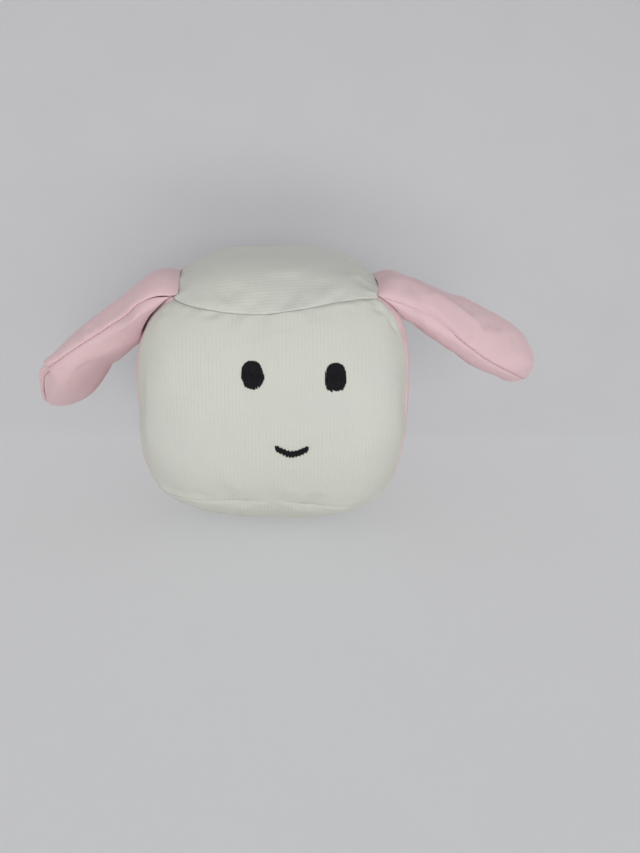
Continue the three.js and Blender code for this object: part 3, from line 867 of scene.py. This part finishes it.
def through(places, values, s):
    """A smooth line through values given at rising places, level outside them."""
    places, values = np.asarray(places, float), np.asarray(values, float)
    at = np.clip(s, places[0], places[-1])
    k = np.clip(np.searchsorted(places, at, side="right") - 1, 0, len(places) - 2)
    slope = np.diff(values) / np.diff(places)
    before, after = slope[:-1], slope[1:]
    both = np.where(before + after == 0, 1, before + after)
    inner = np.where(before * after > 0, 2 * before * after / both, 0)
    lean = np.concatenate([slope[:1], inner, slope[-1:]])
    width = places[k + 1] - places[k]
    t = (at - places[k]) / width
    start = (1 + 2 * t) * (1 - t) ** 2 * values[k] + t * (1 - t) ** 2 * width * lean[k]
    return start + t**2 * (3 - 2 * t) * values[k + 1] + t**2 * (t - 1) * width * lean[k + 1]


def near(s, place, reach):
    """1 at a place along the ear, fading out to both sides, as a column."""
    return np.exp(-(((s - place) / reach) ** 2))[:, None]


def rounded(x, power, end):
    """1 in the middle and 0 at 1, as an outline or a crown falls off."""
    return np.maximum(1 - np.abs(x) ** power, 0) ** end


class Ear:
    def __init__(self, side):
        self.side = side
        self.out = -1 if side == "left" else 1
        self.shape = EARS[side]
        ends = np.array([EAR_ROOT_FRONT, EAR_ROOT_BACK])
        front, back = surface("top", self.out, ends)
        self.root = (front + back) / 2
        self.seam_way = unit(back - front)
        line = [self.root + np.array([x * self.out, y, z]) for x, y, z in self.shape["line"]]
        self.knots = [self.root] + line
        self.bend_way = unit(self.frame_at(np.array([EAR_BEND_TOWARD]))[0][0] - self.root)
        self.fill = fill_ear(self)

    def frame_at(self, s):
        """Points on the middle line, and the ways along, across and up there."""
        at, along, self.length = catmull(self.knots, s)
        level = unit(np.array([0.0, 1, 0]) - along * along[:, 1:2])
        up = np.cross(along, level) * self.out
        roll = np.radians(through(EAR_ROLL_AT, self.shape["roll"], s))
        rolled_way = level * np.cos(roll)[:, None] + up * np.sin(roll)[:, None]
        free = smooth(s, 0, EAR_LAID)[:, None]
        across = unit(self.seam_way * (1 - free) + rolled_way * free)
        rise = unit(np.cross(along, across) * self.out)
        return at, along, across, rise

    def width(self, s):
        wide = EAR_NARROW + (1 - EAR_NARROW) * np.sin(np.pi * np.minimum(s / 0.8, 1))
        tip = np.maximum((s - EAR_WIDTH_FROM) / (1 - EAR_WIDTH_FROM), 0)
        return EAR_HALF_WIDTH * wide * (1 - (1 - self.shape["tip"][0]) * tip**2.6)

    def fullness(self, s, facing):
        tip = np.maximum((s - EAR_THIN_FROM) / (1 - EAR_THIN_FROM), 0)
        full = through(EAR_THICK_AT, self.shape["above" if facing > 0 else "below"], s)
        full = full * (1 - np.exp(-s / EAR_SWELL)) * rounded(tip, 3.2, 0.6)
        return np.maximum(full, 0.5 * (1 - smooth(s, 0.8, 1.0)))

    def height(self, s, v, facing):
        """How far one cloth of the ear stands off its middle sheet."""
        if facing < 0:
            return self.fullness(s, facing)[:, None] * UNDER_SHARE * rounded(v, *UNDER_CROWN)
        full = self.fullness(s, facing)[:, None] * rounded(v, *UPPER_CROWN)
        # the tip is fuller at its corners
        tip = np.clip((s - EAR_THIN_FROM) / (1 - EAR_THIN_FROM), 0, 1)
        fuller = self.shape["above"][-1] * rounded(tip, 5, 0.5)[:, None] * rounded(v, 6, 0.5)
        boxy = self.shape["boxy"] * smooth(s, 0.72, 0.95)[:, None]
        full = full + boxy * (np.maximum(fuller, full) - full)
        fold = np.exp(-(((v + 0.55) / 0.2) ** 2)) - 0.9 * np.exp(-(((v + 0.05) / 0.3) ** 2))
        return full + self.shape["ridge"] * near(s, 0.3, 0.25) * fold

    def place(self, s, v, height, shrink=0.0):
        """s along 0..1 (rows), v across -1..1 (cols), height off the middle sheet."""
        shape = self.shape
        at, along, across, rise = self.frame_at(s)
        half = (self.width(s) - shrink)[:, None]
        front = np.minimum(v, 0)
        _width, skew, bulge = shape["tip"]
        blunt = bulge * (1 - v**2) * smooth(s, 0.8, 1)[:, None]
        blunt = blunt + skew * v * smooth(s, 0.55, 1)[:, None]
        blunt = blunt - shrink * (s**2)[:, None]
        # the front edge leans forward near the root, and the lower cloth bulges there
        cheek = shape["cheek"] * np.clip(-height / 3.0, 0, 1) * near(s, 0.2, 0.13)
        flare = (EAR_FLARE * near(s, 0.12, 0.1) + cheek) * front**3
        p = at[:, None] + across[:, None] * (half * v + flare)[..., None]
        # the upper cloth wraps round the tip and its front corner, off the edge seam
        wrap = 1 - np.exp(-np.maximum(np.clip(height, 0, 5) - 0.08, 0) / 0.6)
        blunt = blunt + shape["lip"] * smooth(s, 0.84, 1)[:, None] * wrap
        corner = shape["corner"] * smooth(s, 0.62, 0.95)[:, None] * front**2
        p = p - across[:, None] * (corner * wrap)[..., None]
        p = p + along[:, None] * blunt[..., None]
        # the root follows the curved seam
        share = EAR_ROOT_FRONT + (EAR_ROOT_BACK - EAR_ROOT_FRONT) * (v + 1) / 2
        seam = surface("top", np.full_like(share, self.out), share)
        start = at[0] + across[0] * (half[0] * v)[:, None]
        p = p + (1 - smooth(s, 0, EAR_SEAMED))[:, None, None] * (seam - start)
        # the two cloths draw in where they are sewn together
        fold = shape["valley"] * near(s, 0.24, 0.15)
        deep, wide = EAR_EDGE_GROOVE + 1.3 * fold, 0.5 + 1.6 * fold
        drawn = deep * np.exp(-((height / wide) ** 2)) * smooth(s, 0, 0.1)[:, None]
        p = p - across[:, None] * (drawn * np.sign(v) * np.abs(v) ** 6)[..., None]
        return p + rise[:, None] * height[..., None]


def push_off_block(points, gap, soft=0.3):
    """Points nearer than the gap to the block move out to it."""
    gradient = share_gradient(points)
    steep = np.linalg.norm(gradient, axis=-1)
    distance = (block_share(points) - 1) / steep
    want = gap + soft * np.log1p(np.exp(np.clip((distance - gap) / soft, -40, 40)))
    want = np.where(distance > gap + 6 * soft, distance, want)
    return points + gradient / steep[..., None] * (want - distance)[..., None]


def fill_ear(ear):
    """How far the ear's two cloths stand out, on even grids."""
    s, v = np.linspace(0, 1, EAR_FILL_ROWS), np.linspace(-1, 1, EAR_FILL_COLS)
    inside = FILL_INSET * (1 - (2 * s - 1) ** 4)[:, None] * (1 - v**4)
    even, starts, faces = [], [], []
    for number, facing in enumerate((1, -1)):
        height = ear.height(s, v, facing)
        even.append(ear.place(s, v, facing * height))
        starts.append(ear.place(s, v, facing * np.maximum(height - inside, 0.1)))
        cloth = grid_faces(len(s), len(v), number * inside.size)
        # cloth that faces the other way is wound the other way
        faces += cloth if facing == ear.out else [f[::-1] for f in cloth]
    rise = ear.frame_at(s)[3][:, None]
    ways = np.stack([rise, -rise])
    stands = fill_sheets(np.stack(even), starts, ways, inside, faces, EAR_FILL_LIMIT)
    return dict(zip((1, -1), stands))


def ear_grid():
    """Places along and across the ear's cloths, closer together at the edges."""
    body = np.linspace(0.05, 0.955, EAR_ROWS)
    t = np.linspace(-1, 1, EAR_COLS)
    across = np.sign(t) * (1 - (1 - np.abs(t)) ** 1.7)
    return np.concatenate([EAR_FIRST_ROWS, body, 1 - np.array(EAR_LAST_ROWS)]), across


def ear_cover(ear, facing):
    """One cloth of the ear, from its outer and its inner sheet."""
    s, v = ear_grid()
    full = ear.height(s, v, facing)
    if ear.fill:
        full = full + between_both(ear.fill[facing], 2 * s - 1, v)
    _root, tip, front, back = edge_distances(ear.place(s, v, np.zeros_like(full)))
    edge = np.minimum(np.minimum(front, back), tip)
    seed = 300 + (0 if ear.side == "left" else 40) + (0 if facing > 0 else 20)
    along = np.broadcast_to((s * ear.length)[:, None], full.shape)
    over = np.broadcast_to(v * EAR_HALF_WIDTH, full.shape)
    folds = np.zeros_like(full)
    for number, (high, reach, spread, *kind) in enumerate(EAR_FOLDS):
        folds += high * waves(along, over * spread, *kind, seed + number) * np.exp(-edge / reach)
    height = np.maximum(full + folds * np.minimum(full / 2.0, 1), 0.08)
    # the upper cloth starts a little inside the seam and lies over it
    in_middle, in_front, in_back = ear.shape["over"]
    shift = in_middle * (1 - v**2) + in_front * (1 - v) / 2 + in_back * (1 + v) / 2
    shift = shift * (facing > 0) * (1 - smooth(s, 0, 0.12))[:, None]
    shift = ear.frame_at(s)[1][:, None] * shift[..., None]
    lift = EAR_LIFT[facing] * smooth(s, 0.0, 0.02)[:, None]
    outer = push_off_block(ear.place(s, v, facing * height) - shift, lift)
    below = np.maximum(height - EAR_CLOTH, 0.03)
    inner = push_off_block(ear.place(s, v, facing * below) - shift, lift * 0.5)
    cloth = np.stack([over, along, np.full(over.shape, 200.0 + seed)], -1)
    name = f"{ear.side}_ear_upper" if facing > 0 else f"{ear.side}_ear_under"
    faces = two_sheets(*full.shape)
    obj = link(f"{name}_cover", np.stack([outer, inner]), faces, [cloth] * 2)
    finish_piece(outward(obj), "pink_jersey", f"{name}_face", ear)


def ear_filling(ear):
    s = np.linspace(FILLING_FROM, FILLING_TO, FILLING_ROWS)
    v = np.sin(np.pi / 2 * np.linspace(-1, 1, FILLING_ACROSS))
    sheets = []
    for facing, lift in FILLING_LIFT.items():
        full = np.maximum(ear.fullness(s, facing) - FILLING_THINNER, FILLING_LEAST)
        height = facing * full[:, None] * rounded(v, *UPPER_CROWN)
        sheets.append(push_off_block(ear.place(s, v, height, FILLING_NARROWER), lift))
    obj = link(f"{ear.side}_ear_stuffing", sheets, two_sheets(len(s), len(v)), sheets)
    finish_piece(outward(obj), "fibrefill", f"{ear.side}_ear_filling", ear)


def ear_thread(ear):
    """One row of short stitches along the ear's edge seam, down in the crease."""
    tubes = []
    s, v = np.linspace(0.06, 1.0, 160), np.linspace(-1, 1, 31)
    flat = np.zeros((len(s), 1))
    front, back = (ear.place(s, np.array([side]), flat)[:, 0] for side in (-1.0, 1.0))
    tip = ear.place(np.array([0.999, 1.0]), v, np.zeros((2, len(v))))[-1]
    line = np.concatenate([front, tip[1:-1], back[::-1]])
    run = run_along(line)
    first = np.interp(ear.shape["thread_from"], s, run[: len(s)])
    for start in np.arange(0.5, run[-1] - EAR_STITCH_PITCH, EAR_STITCH_PITCH):
        if start >= first:
            at = start + np.linspace(0, EAR_STITCH_LENGTH, 6)
            tubes.append(tube(on_line(at, run, line), EAR_STITCH_RADIUS, 6))
    name = f"{ear.side}_ear"
    finish_stitches(tubes, f"{name}_stitches", "pink_thread", f"{name}_seam_thread", ear)


for side in SIDES:
    ear = Ear(side)
    ear_cover(ear, 1)
    ear_cover(ear, -1)
    ear_filling(ear)
    ear_thread(ear)


# Embroidery
STITCH_PITCH, STITCH_WIDE, STITCH_HIGH = 0.36, 0.24, 0.15
STITCH_DIVE = 0.25  # how deep in the cloth a stitch ends
STITCH_LONGEST, STITCH_OVERLAP = 4.6, 0.018
STITCH_STEPS, THREAD_SIDES = 9, 6
UNEVEN = dict(  # how much satin stitches stray: their ends, places, slants, cuts and heights
    top=0.014, low=0.022, notch=0.035, place=0.00035, slant=0.0008, cut=0.28, lift=0.02
)
EYE_LAYERS = ((0.9, 0.28, 0.5), (1.0, 0.5, 0.0))  # size, height and shift in stitches
EYE_END = 0.985  # stitches further out than this are left out
MOUTH_LAYERS = ((0.2, 0.75), (0.42, 1.0))  # height and size
MOUTH_GROUPS = ((0.17, 2.4, 0.05), (0.24, 0.0, 0.07))  # height, turn and unevenness, top and low


def front_ways(u, v):
    """Moves on the front panel, in millimetres for one share across and for one up."""
    e = 1e-3
    across = surface("front", u + e, v) - surface("front", u - e, v)
    up = surface("front", u, v + e) - surface("front", u, v - e)
    return across / (2 * e), up / (2 * e)


def on_front(u, v, lift):
    """Places on the dressed front panel, lifted off its cloth."""
    out = unit(np.cross(*front_ways(u, v)))
    out = np.where(out[..., 1:2] > 0, -out, out)
    return surface("front", u, v) + out * (lift - sink_at("front", u, v))[..., None]


def sink_at(panel, u, v):
    """The relief of a panel's cloth, read from its grid."""
    axis, sink = RELIEF[panel]
    i, j = (np.clip(np.searchsorted(axis, x) - 1, 0, len(axis) - 2) for x in (u, v))
    a, b = (np.clip((x - axis[k]) / (axis[k + 1] - axis[k]), 0, 1) for x, k in ((u, i), (v, j)))
    low = sink[i, j] * (1 - b) + sink[i, j + 1] * b
    high = sink[i + 1, j] * (1 - b) + sink[i + 1, j + 1] * b
    return low * (1 - a) + high * a


def outline(a, power_side, power_end):
    return rounded(a, power_side, 1 / power_end)


def satin(u, v, lift, r):
    """One flat stitch: a thread that dives into the cloth at both ends."""
    arch = np.minimum(1, np.sin(np.pi * np.linspace(0, 1, len(u))) ** 0.35 * 1.02)
    path = on_front(u, v, lift * arch - STITCH_DIVE * (1 - arch))
    points, faces, cloth = tube(path, STITCH_WIDE * (0.75 + 0.25 * arch), THREAD_SIDES)
    # flatten the thread against the cloth
    middle = np.repeat(path, THREAD_SIDES, axis=0)
    out = unit((middle - CENTRE - np.array([0, 40.0, 0])) * np.array([0.3, 1, 0.3]))
    off = points - middle
    deep = (off * out).sum(-1, keepdims=True)
    points = middle + off - out * deep * (1 - STITCH_HIGH / STITCH_WIDE)
    return points, faces, cloth + np.array([r.uniform(0, 50), 0, r.uniform(0, 50)])


def eye(name):
    shape = EYES[name]
    (u0, v0), (wide, high) = shape["at"], shape["half"]
    r = np.random.default_rng(shape["seed"])
    per_u, per_v = (np.linalg.norm(way) for way in front_ways(u0, v0))
    tubes = []
    columns = int(2 * wide * per_u / STITCH_PITCH)
    for layer, (size, base, shift) in enumerate(EYE_LAYERS):
        for k in range(columns):
            a = (2 * (k + 0.5 + shift * 0.5) / columns - 1) * size
            if abs(a) >= EYE_END:
                continue
            top = outline(a + shape["top_shift"], *shape["top_powers"]) * size
            low = -outline(a, *shape["low_powers"]) * size
            if layer:  # the stitches that show end a little unevenly
                notch = np.sin(k * 1.37 + shape["seed"]) > 0.45
                top += r.normal(0, UNEVEN["top"])
                low += r.normal(0, UNEVEN["low"]) - UNEVEN["notch"] * notch
            u = u0 + wide * a + r.normal(0, UNEVEN["place"])
            dome = base * (1 - 0.55 * a * a)
            height = top - low
            pieces = max(1, int(round(height * high * per_v / STITCH_LONGEST)))
            stray = r.uniform(-UNEVEN["cut"], UNEVEN["cut"], pieces - 1)
            cuts = [0, *np.sort((np.arange(1, pieces) + stray) / pieces), 1]
            for start, end in zip(cuts, cuts[1:]):
                first = low + (start - STITCH_OVERLAP * (start > 0)) * height
                last = low + (end + STITCH_OVERLAP * (end < 1)) * height
                b = np.linspace(first, last, STITCH_STEPS)
                slant = np.linspace(-1, 1, STITCH_STEPS) * r.normal(0, UNEVEN["slant"])
                across = u + shape["lean"] / 2 * b + slant
                up = v0 + high * b
                tubes.append(satin(across, up, dome + r.normal(0, UNEVEN["lift"]), r))
    finish_stitches(tubes, f"{name}_embroidery", "black_embroidery", name)


def mouth():
    r = np.random.default_rng(MOUTH_SEED)
    (u0, v0), (u1, v1) = MOUTH_FROM, MOUTH_TO
    per_u, per_v = (np.linalg.norm(way) for way in front_ways((u0 + u1) / 2, v0))
    tubes = []
    columns = int((u1 - u0) * per_u / (STITCH_PITCH * 1.05))
    for lift, size in MOUTH_LAYERS:
        for k in range(columns + 1):
            t = k / columns
            centre = v0 + (v1 - v0) * t - MOUTH_SAG * (1 - abs(2 * t - 1) ** MOUTH_BEND)
            slope = -MOUTH_SAG * 4 * (1 - 2 * t) / (u1 - u0)
            end = min(t, 1 - t) * (u1 - u0) * per_u
            half = MOUTH_HALF * size * math.sqrt(max(1 - max(1 - end / 0.7, 0) ** 2 * 0.6, 0.1))
            group = 2 * math.pi * MOUTH_LUMPS * t
            top, low = (
                half * (1 + high * math.sin(group + turn) + r.normal(0, uneven))
                for high, turn, uneven in MOUTH_GROUPS
            )
            lean = -MOUTH_LEAN * slope * half * (per_v / per_u) ** 2
            across = u0 + (u1 - u0) * t + np.linspace(lean, -lean, STITCH_STEPS)
            up = np.linspace(centre - low, centre + top, STITCH_STEPS)
            tubes.append(satin(across, up, lift + r.normal(0, UNEVEN["lift"]), r))
    finish_stitches(tubes, "mouth_embroidery", "black_embroidery", "mouth")


eye("left_eye")
eye("right_eye")
mouth()


# Seams of the block
SEAM_STITCHES = dict(depth=1.95, pitch=2.3, radius=0.13, half=0.34)
CLOSING_STITCHES = dict(depth=0.95, pitch=2.9, radius=0.17, half=0.75)
SEAM_SEED, CLOSING_SEED = 5, 9
SEAM_END, BOTTOM_END = 0.985, 0.97  # where the stitches stop, in shares of an edge
WALLS = ("front", "right", "back", "left")
SEAMS = {
    "top_seam_thread": [(panel, "top") for panel in WALLS],
    "bottom_seam_thread": [(panel, "low") for panel in WALLS],
    "front_left_seam_thread": [("front", "left")],
    "front_right_seam_thread": [("front", "right")],
    "back_left_seam_thread": [("back", "right")],
    "back_right_seam_thread": [("back", "left")],
}


def seam_line(panel, edge, share):
    """Points on a panel's edge, which is top, low, left or right."""
    one = np.ones_like(share)
    ends = {"top": (share, one), "low": (share, -one), "left": (-one, share), "right": (one, share)}
    return surface(panel, *ends[edge])


def seam_stitches(line, r, depth, pitch, radius, half):
    """Short stitches across a seam, their ends bent into it."""
    run = run_along(line)
    count = int(run[-1] / pitch)
    at = (np.arange(count) + 0.5) * run[-1] / count
    along, out = unit(np.gradient(line, axis=0)), unit(share_gradient(line))
    ways = (along, out, unit(np.cross(along, out)))
    along, out, across = (unit(on_line(at, run, way)) for way in ways)
    middle = on_line(at, run, line)
    t = np.linspace(-1, 1, 7)[:, None]
    tubes = []
    for k in range(count):
        lean = along[k] * (0.3 + r.normal(0, 0.06))
        path = middle[k] - out[k] * (depth + r.normal(0, 0.04)) + across[k] * t * half + lean * t
        tubes.append(tube(path - out[k] * 0.35 * t**2, radius, 5))
    return tubes


def block_seams():
    share = np.linspace(-SEAM_END, SEAM_END, 160)
    r = np.random.default_rng(SEAM_SEED)
    for node, edges in SEAMS.items():
        tubes = []
        for panel, edge in edges:
            line = seam_line(panel, edge, share * (BOTTOM_END if edge == "low" else 1.0))
            if node == "bottom_seam_thread":
                line = line[line[:, 2] > 0.5]
            tubes += seam_stitches(line, r, **SEAM_STITCHES)
        finish_stitches(tubes, node.replace("_thread", "_stitches"), "white_thread", node)


def closing():
    """Hand-sewn ladder stitches where the block was closed after filling."""
    line = seam_line("back", "low", np.linspace(-0.4, 0.4, 60))
    tubes = seam_stitches(line, np.random.default_rng(CLOSING_SEED), **CLOSING_STITCHES)
    finish_stitches(tubes, "closing_stitches", "white_thread", "closing_stitch")


block_seams()
closing()


# Camera, light and backdrop
SENSOR, FOCAL_PIXELS, PICTURE_HEIGHT = 36, 644, 853
CAMERA_AT = (7.39, -261.64, 77.93 + CENTRE_Z)
CAMERA_RIGHT, CAMERA_AHEAD = (0.99910, -0.03500, 0.02370), (0.04110, 0.93430, -0.35420)
SUN_STRENGTH, SUN_SPREAD, SUN_WAY = 1.17, 30, (-0.08, 0.97, -0.12)
SUN_COLOUR = (1.0, 0.998, 0.99)
LOW_POWER, LOW_SPREAD, LOW_SIZE = 0.12, 70, (0.6, 0.12)
LOW_AT, LOW_AIM = (0.03, -0.3, 0.015), (0, -0.04, 0.07)
WORLD_STRENGTH, WORLD_COLOUR = 0.42, (0.99, 0.992, 1.0, 1)
BACKDROP = linear(190, 190, 192)
COVE_START, COVE_RADIUS, COVE_LEAN = 60.0, 60.0, 3.0  # the sheet curves up behind the toy
SHEET_REACH = 30000.0
# the wall's grey is painted darker than the floor's, as painted shade against the light that it faces
FLOOR_COLOUR, WALL_COLOUR_WITH_PAINTED_SHADE = linear(238, 238, 238), linear(208, 208, 211)
PALE, PALE_SHARE = linear(203, 204, 206), 0.6


def camera():
    data = bpy.data.cameras.new("camera")
    lens = FOCAL_PIXELS / PICTURE_HEIGHT * SENSOR
    set_all(data, dict(sensor_width=SENSOR, lens=lens, clip_start=0.01))
    obj = new_object("camera", data)
    ahead = Vector(CAMERA_AHEAD).normalized()
    up = Vector(CAMERA_RIGHT).cross(ahead).normalized()
    right = ahead.cross(up).normalized()
    turn = Matrix((right, up, -ahead)).transposed().to_4x4()
    turn.translation = Vector(CAMERA_AT) * MM
    obj.matrix_world = turn
    bpy.context.scene.camera = obj


def light(name, kind, way, **settings):
    """A light that shines along a way."""
    data = bpy.data.lights.new(name, kind)
    set_all(data, settings)
    obj = new_object(name, data)
    obj.rotation_euler = Vector(way).to_track_quat("-Z", "Y").to_euler()
    return obj


def lights():
    spread = math.radians(SUN_SPREAD)
    light("window", "SUN", SUN_WAY, energy=SUN_STRENGTH, angle=spread, color=SUN_COLOUR)
    # a low, wide panel in front gives back the light that a white table would
    wide, high = LOW_SIZE
    panel = light(
        "low_panel", "AREA", Vector(LOW_AIM) - Vector(LOW_AT), shape="RECTANGLE",
        size=wide, size_y=high, energy=LOW_POWER, spread=math.radians(LOW_SPREAD),
    )
    panel.location = LOW_AT
    panel.visible_camera = False


def world():
    made = bpy.data.worlds.new("studio")
    bpy.context.scene.world = made
    made.use_nodes = True
    n = Nodes(made.node_tree)
    back = n.tree.nodes["Background"]
    n.plug(back, {0: WORLD_COLOUR, 1: WORLD_STRENGTH})
    shown = n.node("ShaderNodeBackground", {0: (*BACKDROP, 1), 1: 1.0})
    both = n.mix_shaders(n.seen(), back.outputs[0], shown.outputs[0])
    n.plug(n.tree.nodes["World Output"], {0: both})


def sheet_profile():
    """The backdrop seen from the side, as places along and up."""
    profile = [(-SHEET_REACH, 0.0)] + [(y, 0.0) for y in np.linspace(-600, COVE_START, 12)]
    for turn in np.radians(np.linspace(0, 90 - COVE_LEAN, 40))[1:]:
        y, z = COVE_START + COVE_RADIUS * math.sin(turn), COVE_RADIUS * (1 - math.cos(turn))
        profile.append((y, z))
    lean = math.radians(COVE_LEAN)
    return profile + [(y + math.sin(lean) * d, z + math.cos(lean) * d) for d in (400.0, 4000.0)]


def sheet_material():
    s = Shader("floor")
    where = s.node("ShaderNodeNewGeometry").outputs
    fine = s.ramp(s.noise(where["Position"], 30.0, 4), 0.3, 0.7, 0.99, 1.01)
    tilt = s.node("ShaderNodeSeparateXYZ", {0: where["Normal"]}).outputs
    # painted shade: the part that stands up faces the light, so its grey is painted darker than the
    # floor's, which keeps the sheet about evenly bright
    facing = s.math("POWER", s.math("MAXIMUM", s.times(tilt[1], -1.0), 0.0), 0.85)
    tone = s.mix(facing, (*FLOOR_COLOUR, 1), (*WALL_COLOUR_WITH_PAINTED_SHADE, 1))
    colour = s.node("ShaderNodeVectorMath", {0: tone, "Scale": fine}, operation="SCALE")
    s.plug(s.surface, {
        "Base Color": colour.outputs[0],
        "Roughness": 0.9,
        "Specular IOR Level": 0.1,
    })
    # to the camera the lying part is mostly an even pale grey, with a faint shadow
    flat = s.times(s.math("SUBTRACT", 1.0, facing), PALE_SHARE)
    pale = s.node("ShaderNodeEmission", {0: (*PALE, 1)})
    shown = s.mix_shaders(s.times(s.seen(), flat), s.surface.outputs[0], pale.outputs[0])
    clear = s.node("ShaderNodeBsdfTransparent")
    both = s.mix_shaders(where["Backfacing"], shown, clear.outputs[0])
    s.plug(s.tree.nodes["Material Output"], {"Surface": both})
    return s.material


def floor():
    """A sheet that lies on the table and curves up behind the toy, seen from the front."""
    profile = sheet_profile()
    points = [(x, y, z) for y, z in profile for x in (-SHEET_REACH, SHEET_REACH)]
    faces = [(2 * i, 2 * i + 1, 2 * i + 3, 2 * i + 2) for i in range(len(profile) - 1)]
    obj = link("floor", points, faces)
    obj.data.materials.append(sheet_material())


camera()
lights()
world()
floor()
bpy.context.scene.view_settings.view_transform = "Standard"
